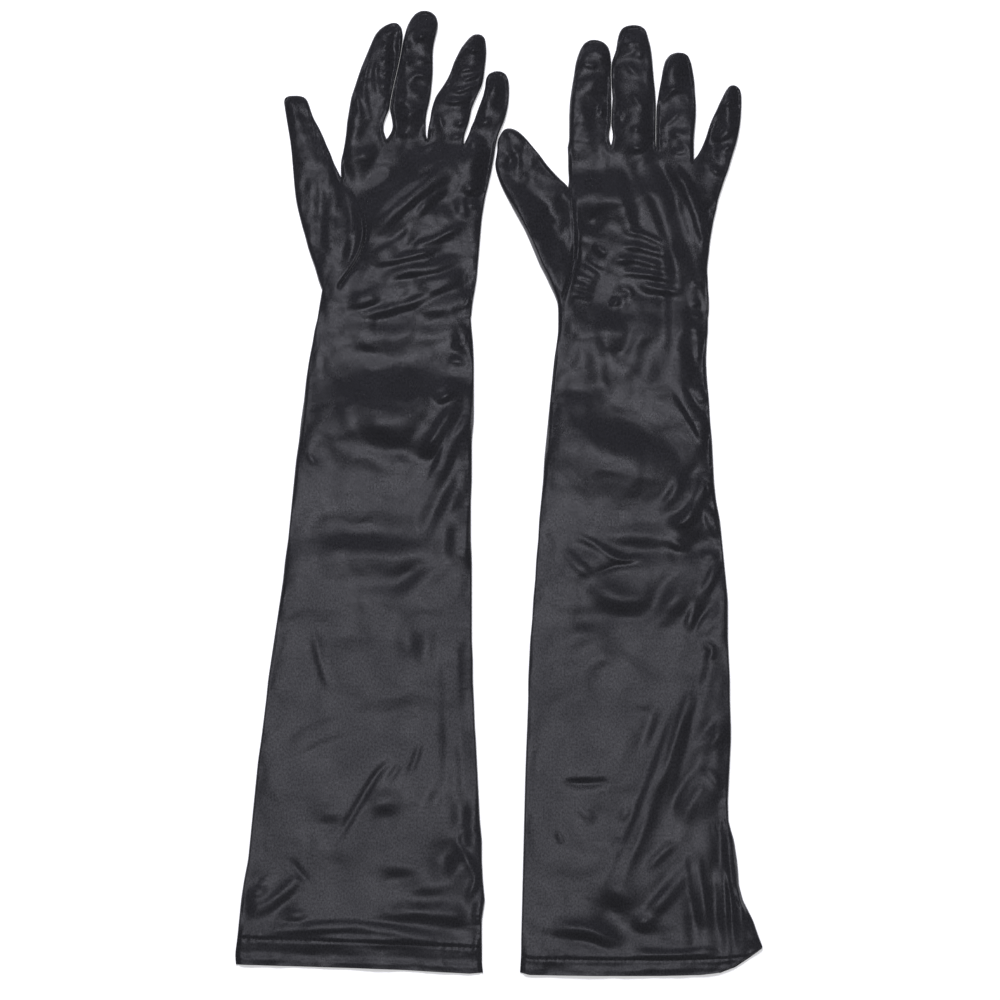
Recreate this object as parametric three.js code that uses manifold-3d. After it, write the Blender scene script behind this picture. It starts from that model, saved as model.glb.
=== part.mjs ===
// A pair of long satin opera gloves lying flat on a table, side by side.
// The left-hand glove lies palm up, the right-hand glove lies back up.
// Millimetres, +Z up, fingers towards +Y. The origin is the centre of the pair's
// footprint, on the surface the gloves lie on.
//
// Each glove is a long tapering trank (upper sleeve, forearm, hand), four finger
// stalls with fourchette strips let into their sides, a set-in thumb, a turned
// hem and its stitching. The soft shell is divided where it folds: at the elbow,
// the wrist, the finger roots and the thumb root.

import * as THREE from "three";
import { mergeVertices } from "three/addons/utils/BufferGeometryUtils.js";
import Module from "manifold-3d";

const wasm = await Module();
wasm.setup();

// ---------------------------------------------------------------- dimensions
const WALL = 0.8; // shell wall, fabric with the air caught in its creases
const GAP = 0.3; // gap between two pieces that meet
const SLEEVE_H = 9.0; // height of the sleeve as it lies
const HAND_H = 9.0; // height of the hand as it lies
const FINGER_H = 8.0; // height of a finger at its root
const TIP_H = 4.4; // height of a finger just behind its tip
const THUMB_H = 8.6; // height of the thumb at its root
const THREAD_R = 0.4; // sewing thread, raised line of stitches
const SEAM_SINK = 0.3; // clear space between a thread and the shell
const FOURCHETTE_Z = [1.9, 5.3]; // the strip's band on the side of a finger
const HEM_BAND_T = 0.6; // turned-in hem layer

// Trank outlines: [y, left edge x, right edge x] across the flat width.
const TRANK = {
  left: {
    upper: [[-287.7, -157.8, -9.3], [-268.5, -157.2, -10.2], [-244.5, -154.5, -9.4], [-220.5, -150.6, -10.2], [-172.5, -145.8, -12.6], [-140.7, -142.2, -14.4]],
    forearm: [[-140.7, -142.2, -14.4], [-76.5, -133.2, -16.2], [-4.5, -124.2, -16.8], [31.5, -120.0, -16.2], [79.5, -114.0, -15.0], [104.7, -109.2, -16.8]],
    hand: [[104.7, -109.2, -16.8], [120.0, -106.6, -14.4], [123.3, -98.1, -14.1], [138.3, -97.3, -12.3], [157.5, -96.2, -10.5], [186.9, -94.5, -6.0], [195.9, -94.6, -4.4]],
  },
  right: {
    upper: [[-289.5, 12.6, 135.0], [-280.5, 12.9, 149.4], [-268.5, 13.2, 157.8], [-253.5, 13.6, 150.0], [-226.5, 14.4, 143.4], [-196.5, 15.0, 138.0], [-140.7, 16.8, 139.2]],
    forearm: [[-140.7, 16.8, 139.2], [-76.5, 19.8, 137.4], [-28.5, 23.4, 133.8], [19.5, 27.0, 128.4], [67.5, 31.8, 124.8], [104.7, 35.4, 125.4]],
    hand: [[104.7, 35.4, 125.4], [114.3, 36.3, 126.0], [139.5, 38.2, 125.4], [157.5, 39.5, 127.8], [182.1, 41.4, 133.8], [193.5, 41.5, 136.2]],
  },
};
// Finger roots, from the index side to the little-finger side.
const ROOT = {
  left: [[-93.6, 204.0], [-67.2, 212.1], [-42.6, 212.1], [-20.4, 209.0], [-2.4, 202.6]],
  right: [[41.1, 207.0], [67.2, 208.5], [94.2, 206.7], [117.0, 199.8], [138.2, 192.9]],
};
// Finger centre lines: [x, y, half width].
const FINGERS = {
  left: {
    index: [[-79.2, 223.5, 11.2], [-77.1, 235.5, 11.2], [-73.7, 247.5, 10.9], [-70.3, 259.5, 10.1], [-66.0, 273.0, 7.6], [-63.0, 281.1, 3.0]],
    middle: [[-53.7, 223.5, 10.1], [-52.3, 235.5, 10.7], [-50.3, 247.5, 10.0], [-47.5, 271.5, 8.6], [-45.0, 282.5, 6.6], [-44.7, 288.6, 3.0]],
    ring: [[-30.5, 220.5, 10.6], [-27.9, 229.5, 10.7], [-24.0, 239.1, 10.2], [-17.4, 258.3, 8.8], [-15.0, 266.7, 6.9], [-12.9, 274.5, 2.6]],
    little: [[-8.8, 215.7, 8.0], [-5.4, 224.7, 8.4], [-2.5, 233.7, 8.2], [-1.0, 242.7, 7.0], [0.0, 252.3, 2.6]],
  },
  right: {
    index: [[54.5, 220.5, 12.0], [55.1, 235.5, 11.8], [55.7, 250.5, 11.0], [56.2, 260.7, 9.6], [56.2, 270.3, 4.0]],
    middle: [[81.0, 220.5, 12.4], [80.9, 235.5, 12.4], [80.5, 250.5, 11.6], [80.2, 268.0, 10.0], [79.9, 275.5, 7.2], [79.8, 279.9, 3.6]],
    ring: [[106.4, 217.5, 11.2], [106.8, 229.5, 11.0], [107.0, 241.5, 10.2], [107.6, 253.0, 8.6], [108.7, 262.8, 3.6]],
    little: [[131.1, 207.9, 9.2], [134.2, 218.7, 8.6], [137.3, 228.3, 7.4], [139.5, 236.1, 5.4], [140.6, 243.9, 2.2]],
  },
};
// Which sides of a finger carry a fourchette: the index side is -1, the little side +1.
const FOURCHETTES = { index: [1], middle: [-1, 1], ring: [-1, 1], little: [-1] };
// Thumb: chords that fan from the root to the tip, [outer end, crotch end].
const THUMBS = {
  left: [
    [[-98.1, 123.3], [-94.5, 186.9]], [[-106.2, 123.6], [-95.9, 190.0]], [[-112.8, 140.7], [-97.0, 192.3]], [[-118.2, 160.5], [-99.2, 198.9]],
    [[-121.5, 175.5], [-102.3, 207.3]], [[-123.6, 192.3], [-106.8, 216.3]], [[-125.7, 211.5], [-111.0, 225.3]], [[-127.5, 224.7], [-113.4, 231.9]],
    [[-128.4, 233.5], [-116.2, 236.2]],
  ],
  right: [
    [[36.3, 114.3], [41.4, 182.1]], [[27.6, 129.3], [36.6, 187.2]], [[20.4, 146.1], [29.4, 195.3]], [[12.6, 163.5], [22.2, 204.3]],
    [[6.2, 177.9], [15.2, 212.0]], [[2.6, 188.1], [9.4, 217.4]], [[0.6, 197.7], [5.8, 218.8]], [[0.0, 204.3], [2.8, 215.2]],
  ],
};
const THUMB_TIP_H = 4.2;
// Curved seam where the set-in thumb meets the hand, on the upper face.
const THUMB_SEAMS = {
  left: [[-92.4, 187.0], [-86.0, 176.5], [-80.5, 166.5], [-79.2, 156.3], [-81.5, 145.5], [-86.9, 135.9], [-92.6, 128.0], [-95.6, 123.6]],
  right: [[43.2, 182.5], [44.2, 171.3], [45.6, 156.0], [45.2, 141.3], [42.4, 128.0], [38.8, 117.4]],
};
// Depth of the turned hem and height of its stitch line above the mouth.
const HEM_DEPTH = { left: 18.0, right: 12.0 };

// ------------------------------------------------------------------ materials
const satin = (c, r) => new THREE.MeshStandardMaterial({ color: new THREE.Color(c, c, c * 1.08), roughness: r, metalness: 0 });
const MAT = { satin: () => satin(0.055, 0.36), lining: () => satin(0.03, 0.5), thread: () => satin(0.02, 0.6) };

// -------------------------------------------------------------- lofted shells
// A section is a flattened tube: flat width from a to b on the table plane,
// round at both edges, flat above and below. bend(u) moves a point of the
// section along +Y, for an end that isn't straight.
function section(a, b, z0, z1, inset, straight, arc, bend) {
  const width = Math.hypot(b[0] - a[0], b[1] - a[1]);
  const ux = (b[0] - a[0]) / width, uy = (b[1] - a[1]) / width;
  const half = width / 2 - inset;
  const hh = (z1 - z0) / 2 - inset;
  const zc = (z0 + z1) / 2;
  const r = Math.min(hh, half * 0.92);
  const pts = [];
  const put = (s, z) => {
    const u = (s + width / 2) / width;
    const dy = bend ? bend(u) : 0;
    pts.push([(a[0] + b[0]) / 2 + ux * s, (a[1] + b[1]) / 2 + uy * s + dy, z]);
  };
  for (let i = 0; i < straight; i++) put(-(half - r) + (2 * (half - r) * i) / (straight - 1), zc + hh);
  for (let i = 1; i <= arc; i++) {
    const t = (Math.PI * i) / (arc + 1);
    put(half - r + r * Math.sin(t), zc + hh * Math.cos(t));
  }
  for (let i = 0; i < straight; i++) put(half - r - (2 * (half - r) * i) / (straight - 1), zc - hh);
  for (let i = 1; i <= arc; i++) {
    const t = (Math.PI * i) / (arc + 1);
    put(-(half - r) - r * Math.sin(t), zc - hh * Math.cos(t));
  }
  return pts;
}

// stations: {a, b, z0, z1, bend}. Open at the first station; open or closed at the last.
function shell(stations, { straight = 5, arc = 3, wall = WALL, closed = false } = {}) {
  const outer = stations.map((s) => section(s.a, s.b, s.z0, s.z1, 0, straight, arc, s.bend));
  const inner = (closed ? stations.slice(0, -1) : stations).map((s) => section(s.a, s.b, s.z0, s.z1, wall, straight, arc, s.bend));
  return ringsToGeometry(outer, inner, closed);
}

function ringsToGeometry(outer, inner, closed) {
  const m = outer[0].length;
  const pos = [];
  const idx = [];
  for (const ring of [...outer, ...inner]) for (const p of ring) pos.push(...p);
  const o = (i, k) => i * m + (k % m);
  const n = (i, k) => (outer.length + i) * m + (k % m);
  for (let i = 0; i + 1 < outer.length; i++)
    for (let k = 0; k < m; k++) idx.push(o(i, k), o(i, k + 1), o(i + 1, k + 1), o(i, k), o(i + 1, k + 1), o(i + 1, k));
  for (let i = 0; i + 1 < inner.length; i++)
    for (let k = 0; k < m; k++) idx.push(n(i, k), n(i + 1, k + 1), n(i, k + 1), n(i, k), n(i + 1, k), n(i + 1, k + 1));
  for (let k = 0; k < m; k++) idx.push(o(0, k), n(0, k), n(0, k + 1), o(0, k), n(0, k + 1), o(0, k + 1));
  if (closed) {
    const centre = (ring) => ring.reduce((s, p) => [s[0] + p[0] / m, s[1] + p[1] / m, s[2] + p[2] / m], [0, 0, 0]);
    const oc = pos.length / 3;
    pos.push(...centre(outer[outer.length - 1]));
    const nc = pos.length / 3;
    pos.push(...centre(inner[inner.length - 1]));
    const e = outer.length - 1, f = inner.length - 1;
    for (let k = 0; k < m; k++) idx.push(o(e, k), o(e, k + 1), oc, n(f, k), nc, n(f, k + 1));
  } else {
    const e = outer.length - 1, f = inner.length - 1;
    for (let k = 0; k < m; k++) idx.push(o(e, k), o(e, k + 1), n(f, k + 1), o(e, k), n(f, k + 1), n(f, k));
  }
  const g = new THREE.BufferGeometry();
  g.setAttribute("position", new THREE.Float32BufferAttribute(pos, 3));
  g.setIndex(idx);
  if (signedVolume(g) < 0) {
    for (let i = 0; i < idx.length; i += 3) [idx[i + 1], idx[i + 2]] = [idx[i + 2], idx[i + 1]];
    g.setIndex(idx);
  }
  return g;
}

function signedVolume(g) {
  const p = g.getAttribute("position"), ix = g.getIndex();
  let v = 0;
  const A = new THREE.Vector3(), B = new THREE.Vector3(), C = new THREE.Vector3();
  for (let i = 0; i < ix.count; i += 3) {
    A.fromBufferAttribute(p, ix.getX(i));
    B.fromBufferAttribute(p, ix.getX(i + 1));
    C.fromBufferAttribute(p, ix.getX(i + 2));
    v += A.dot(B.cross(C)) / 6;
  }
  return v;
}

// ------------------------------------------------------------------ booleans
function solid(geometry) {
  const g = geometry.clone();
  for (const name of ["normal", "uv"]) if (g.getAttribute(name)) g.deleteAttribute(name);
  const merged = mergeVertices(g, 1e-4);
  return new wasm.Manifold(new wasm.Mesh({
    numProp: 3,
    vertProperties: new Float32Array(merged.getAttribute("position").array),
    triVerts: new Uint32Array(merged.getIndex().array),
  }));
}
function fromSolid(man) {
  const mesh = man.getMesh();
  const g = new THREE.BufferGeometry();
  g.setAttribute("position", new THREE.Float32BufferAttribute(Array.from(mesh.vertProperties), 3));
  g.setIndex(Array.from(mesh.triVerts));
  return g;
}
// A prism: a polygon on the table plane, raised from z0 to z1.
function prism(points, z0, z1) {
  const shape = new THREE.Shape(points.map((p) => new THREE.Vector2(p[0], p[1])));
  const g = new THREE.ExtrudeGeometry(shape, { depth: z1 - z0, bevelEnabled: false });
  g.translate(0, 0, z0);
  return g;
}
// A line through points that is sampled exactly at them.
class Through extends THREE.Curve {
  constructor(points) {
    super();
    this.points = points.map((p) => new THREE.Vector3(...p));
  }
  getPoint(t, target = new THREE.Vector3()) {
    const x = Math.min(1, Math.max(0, t)) * (this.points.length - 1);
    const i = Math.min(this.points.length - 2, Math.floor(x + 1e-9));
    return target.lerpVectors(this.points[i], this.points[i + 1], Math.min(1, x - i));
  }
  getPointAt(t, target) {
    return this.getPoint(t, target);
  }
  getTangentAt(t, target) {
    return this.getTangent(t, target);
  }
}
// A thread: round section drawn through points.
function thread(points, r, sides = 6) {
  const curve = new Through(points);
  const steps = points.length - 1;
  const circle = new THREE.Shape();
  for (let i = 0; i < sides; i++) {
    const t = (2 * Math.PI * i) / sides;
    if (i === 0) circle.moveTo(r * Math.cos(t), r * Math.sin(t));
    else circle.lineTo(r * Math.cos(t), r * Math.sin(t));
  }
  circle.closePath();
  return new THREE.ExtrudeGeometry(circle, { steps, bevelEnabled: false, extrudePath: curve, curveSegments: 1 });
}

// ------------------------------------------------------------------- assembly
const gloves = new THREE.Group();
function add(name, geometry, material) {
  const mesh = new THREE.Mesh(geometry, material);
  mesh.name = name;
  gloves.add(mesh);
  return mesh;
}

// Flat stations from an outline, with a gap of half GAP kept at each end.
function stationsOf(rows, height) {
  const out = rows.map(([y, xl, xr]) => ({ a: [xl, y], b: [xr, y], z0: 0, z1: height }));
  return out;
}
const shiftY = (s, d) => ({ ...s, a: [s.a[0], s.a[1] + d], b: [s.b[0], s.b[1] + d] });

const interp = (pts, x) => {
  for (let i = 0; i + 1 < pts.length; i++)
    if (x <= pts[i + 1][0] || i + 2 === pts.length) {
      const t = Math.min(1, Math.max(0, (x - pts[i][0]) / (pts[i + 1][0] - pts[i][0])));
      return pts[i][1] + t * (pts[i + 1][1] - pts[i][1]);
    }
};

for (const side of ["left", "right"]) {
  const T = TRANK[side];

  // Upper sleeve, from the mouth to the elbow.
  const upper = stationsOf(T.upper, SLEEVE_H);
  upper[upper.length - 1] = shiftY(upper[upper.length - 1], -GAP / 2);
  add(`${side}_sleeve_upper`, shell(upper), MAT.satin());

  // Forearm, from the elbow to the wrist.
  const fore = stationsOf(T.forearm, SLEEVE_H);
  fore[0] = shiftY(fore[0], GAP / 2);
  fore[fore.length - 1] = shiftY(fore[fore.length - 1], -GAP / 2);
  add(`${side}_sleeve_forearm`, shell(fore), MAT.satin());

  // Hand, from the wrist to the finger roots, with a hole in its thumb side.
  const root = ROOT[side];
  const hand = stationsOf(T.hand, HAND_H);
  hand[0] = shiftY(hand[0], GAP / 2);
  const ends = [root[0], root[root.length - 1]];
  const span = ends[1][0] - ends[0][0];
  hand.push({
    a: ends[0], b: ends[1], z0: 0, z1: HAND_H,
    bend: (u) => {
      const x = ends[0][0] + span * u;
      const straightY = ends[0][1] + (ends[1][1] - ends[0][1]) * u;
      return interp(root, x) - straightY;
    },
  });
  const chord = THUMBS[side][0];
  const cx = (chord[0][0] + chord[1][0]) / 2;
  const along = [(chord[1][0] - chord[0][0]), (chord[1][1] - chord[0][1])];
  const chordLen = Math.hypot(...along);
  const d = [along[0] / chordLen, along[1] / chordLen];
  const nrm = [d[1], -d[0]]; // towards the palm
  const at = (s, t) => [chord[0][0] + d[0] * s + nrm[0] * t, chord[0][1] + d[1] * s + nrm[1] * t];
  const thumbHole = prism([at(5, -6), at(chordLen - 5, -6), at(chordLen - 5, 6), at(5, 6)], WALL + 0.5, HAND_H - WALL - 0.5);
  add(`${side}_hand`, fromSolid(solid(shell(hand, { straight: 5 })).subtract(solid(thumbHole))), MAT.satin());

  // Set-in thumb.
  const chords = THUMBS[side];
  const thumb = chords.map(([a, b], i) => {
    const t = i / (chords.length - 1);
    return { a, b, z0: 0, z1: THUMB_H + (THUMB_TIP_H - THUMB_H) * Math.pow(t, 2.2) };
  });
  // the root end stands off the hand by the gap
  thumb[0] = { ...thumb[0], a: [thumb[0].a[0] - nrm[0] * GAP, thumb[0].a[1] - nrm[1] * GAP], b: [thumb[0].b[0] - nrm[0] * GAP, thumb[0].b[1] - nrm[1] * GAP] };
  add(`${side}_thumb`, shell(thumb, { straight: 3, arc: 3, closed: true }), MAT.satin());

  // Finger stalls and their fourchettes.
  Object.keys(FINGERS[side]).forEach((finger, f) => {
    const A = root[f], B = root[f + 1];
    const len = Math.hypot(B[0] - A[0], B[1] - A[1]);
    const e = [(B[0] - A[0]) / len, (B[1] - A[1]) / len];
    const up = [-e[1], e[0]];
    const base = {
      a: [A[0] + e[0] * 0.6 + up[0] * GAP, A[1] + e[1] * 0.6 + up[1] * GAP],
      b: [B[0] - e[0] * 0.6 + up[0] * GAP, B[1] - e[1] * 0.6 + up[1] * GAP],
      z0: 0, z1: FINGER_H,
    };
    const line = [[(A[0] + B[0]) / 2, (A[1] + B[1]) / 2], ...FINGERS[side][finger]];
    const total = line.length - 1;
    const stations = [base];
    for (let i = 1; i < line.length; i++) {
      const p = line[i], q = line[Math.min(i + 1, total)], o = line[i - 1];
      const dir = [q[0] - o[0], q[1] - o[1]];
      const L = Math.hypot(...dir);
      const w = p[2];
      const cross = [dir[1] / L, -dir[0] / L];
      const t = i / total;
      stations.push({
        a: [p[0] - cross[0] * w, p[1] - cross[1] * w], b: [p[0] + cross[0] * w, p[1] + cross[1] * w],
        z0: 0, z1: FINGER_H + (TIP_H - FINGER_H) * Math.pow(t, 2),
      });
    }
    let stall = solid(shell(stations, { straight: 3, arc: 3, closed: true }));
    const last = stations.length - 2;
    for (const s of FOURCHETTES[finger]) {
      // plan outline of one side of the finger, from its root to just behind the tip
      const strip = (grow) => {
        const edge = [], mid = [];
        for (let i = 0; i <= last; i++) {
          const st = stations[i];
          const c = [(st.a[0] + st.b[0]) / 2, (st.a[1] + st.b[1]) / 2];
          const end = s > 0 ? st.b : st.a;
          const w = Math.hypot(end[0] - c[0], end[1] - c[1]);
          const k = [(end[0] - c[0]) / w, (end[1] - c[1]) / w];
          edge.push([end[0] + k[0] * 3, end[1] + k[1] * 3]);
          mid.push([c[0] + k[0] * w * 0.25, c[1] + k[1] * w * 0.25]);
        }
        // trim both ends: 4 mm above the root, and at the last station before the tip
        const trim = (poly) => {
          const out = poly.map((p) => [...p]);
          const u = [poly[1][0] - poly[0][0], poly[1][1] - poly[0][1]];
          const L = Math.hypot(...u);
          out[0] = [poly[0][0] + (u[0] / L) * (4 - grow), poly[0][1] + (u[1] / L) * (4 - grow)];
          const n = poly.length - 1;
          const v = [poly[n][0] - poly[n - 1][0], poly[n][1] - poly[n - 1][1]];
          const M = Math.hypot(...v);
          out[n] = [poly[n][0] - (v[0] / M) * (2.5 - grow), poly[n][1] - (v[1] / M) * (2.5 - grow)];
          return out;
        };
        return prism([...trim(edge), ...trim(mid).reverse()], FOURCHETTE_Z[0] - grow, FOURCHETTE_Z[1] + grow);
      };
      const whole = solid(shell(stations, { straight: 3, arc: 3, closed: true }));
      const piece = whole.intersect(solid(strip(0)));
      stall = stall.subtract(solid(strip(GAP)));
      const towards = s > 0 ? "little_side" : "index_side";
      add(`${side}_${finger}_fourchette_${towards}`, fromSolid(piece), MAT.satin());
    }
    add(`${side}_${finger}_finger`, fromSolid(stall), MAT.satin());
  });

  // Turned hem: a second layer inside the mouth of the upper sleeve.
  const depth = HEM_DEPTH[side];
  const mouthY = T.upper[0][0];
  const edgeAt = (y, c) => {
    const rows = T.upper;
    for (let i = 0; i + 1 < rows.length; i++)
      if (y <= rows[i + 1][0]) {
        const t = (y - rows[i][0]) / (rows[i + 1][0] - rows[i][0]);
        return rows[i][c] + t * (rows[i + 1][c] - rows[i][c]);
      }
  };
  const inset = WALL + GAP;
  const bandYs = [mouthY + 0.2, ...T.upper.map((r) => r[0]).filter((y) => y > mouthY + 1 && y < mouthY + depth - 1), mouthY + depth];
  const bandInset = (y, c, dir) => {
    // keep clear of walls that slant outwards
    const slope = Math.abs(edgeAt(y + 0.5, c) - edgeAt(Math.max(mouthY, y - 0.5), c));
    return edgeAt(y, c) + dir * (inset * Math.hypot(1, slope) + 0.25);
  };
  const band = bandYs.map((y) => ({ a: [bandInset(y, 1, 1), y], b: [bandInset(y, 2, -1), y], z0: inset, z1: SLEEVE_H - inset }));
  add(`${side}_hem_band`, shell(band, { straight: 3, arc: 3, wall: HEM_BAND_T }), MAT.lining());

  // Hem stitching: one line of thread over the upper face, edge to edge.
  const hy = mouthY + depth - 2.5;
  const hx0 = edgeAt(hy, 1), hx1 = edgeAt(hy, 2);
  const off = SEAM_SINK + THREAD_R;
  const R = SLEEVE_H / 2 + off; // the thread rounds the sleeve's edge at this radius
  const round = (cx, from, to) => [0, 0.25, 0.5, 0.75, 1].map((t) => {
    const w = ((from + (to - from) * t) * Math.PI) / 180;
    return [cx + R * Math.cos(w), hy, SLEEVE_H / 2 + R * Math.sin(w)];
  });
  const c0 = hx0 + SLEEVE_H / 2, c1 = hx1 - SLEEVE_H / 2;
  add(`${side}_hem_stitching`, thread([
    ...round(c0, 180, 90), [(c0 + c1) / 2, hy, SLEEVE_H + off], ...round(c1, 90, 0),
  ], THREAD_R), MAT.thread());

  // Side seam on the little-finger edge: one run of thread on each part of the trank.
  const seam = (rows, trimLow, trimHigh) => {
    const pts = rows.map(([y, , xr]) => [xr + off, y, SLEEVE_H / 2]);
    pts[0][1] += trimLow;
    pts[pts.length - 1][1] -= trimHigh;
    return pts;
  };
  add(`${side}_side_seam_upper`, thread(seam(T.upper.filter((r) => r[0] > hy + 3), 0, 1), THREAD_R), MAT.thread());
  add(`${side}_side_seam_forearm`, thread(seam(T.forearm, 1, 1), THREAD_R), MAT.thread());
  add(`${side}_side_seam_hand`, thread(seam(T.hand, 1, 1), THREAD_R), MAT.thread());

  // Curved thumb seam on the upper face of the hand.
  add(`${side}_thumb_seam`, thread(THUMB_SEAMS[side].map(([x, y]) => [x, y, HAND_H + off]), THREAD_R), MAT.thread());
}

// The origin: centre of the footprint, on the surface the gloves lie on.
gloves.updateMatrixWorld(true);
const bounds = new THREE.Box3().setFromObject(gloves, true);
gloves.position.set(-(bounds.min.x + bounds.max.x) / 2, -(bounds.min.y + bounds.max.y) / 2, -bounds.min.z);
gloves.updateMatrixWorld(true);

export default gloves;
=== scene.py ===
# A pair of long black satin opera gloves lying flat, left glove palm up, right glove back up.
# Lengths in this file are millimetres in the design frame of the CAD; M() turns them into the row frame in metres.
import math
import bpy
import numpy as np
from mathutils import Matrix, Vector


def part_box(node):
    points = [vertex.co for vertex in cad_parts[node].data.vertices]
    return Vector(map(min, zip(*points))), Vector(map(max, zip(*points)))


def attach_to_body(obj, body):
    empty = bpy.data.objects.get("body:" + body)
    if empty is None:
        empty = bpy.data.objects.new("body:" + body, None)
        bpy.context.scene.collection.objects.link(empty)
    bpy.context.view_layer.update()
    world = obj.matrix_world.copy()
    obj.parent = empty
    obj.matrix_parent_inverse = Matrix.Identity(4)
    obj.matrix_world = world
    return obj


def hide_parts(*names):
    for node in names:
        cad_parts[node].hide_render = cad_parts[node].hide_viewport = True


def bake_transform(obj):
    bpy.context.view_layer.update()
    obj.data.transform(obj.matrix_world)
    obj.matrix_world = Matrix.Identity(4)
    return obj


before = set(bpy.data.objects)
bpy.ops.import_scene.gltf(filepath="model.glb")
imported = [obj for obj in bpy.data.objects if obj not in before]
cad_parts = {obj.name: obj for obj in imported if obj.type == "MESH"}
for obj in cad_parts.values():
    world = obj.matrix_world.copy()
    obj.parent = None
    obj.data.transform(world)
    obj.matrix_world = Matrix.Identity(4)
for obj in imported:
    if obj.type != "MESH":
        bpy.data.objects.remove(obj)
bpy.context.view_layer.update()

_lo, _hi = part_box("left_sleeve_upper")
DX = _lo.x * 1000 + 157.8  # design frame to row frame
DY = _lo.y * 1000 + 287.7


def M(x, y, z):
    return ((x + DX) / 1000.0, (y + DY) / 1000.0, z / 1000.0)


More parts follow.
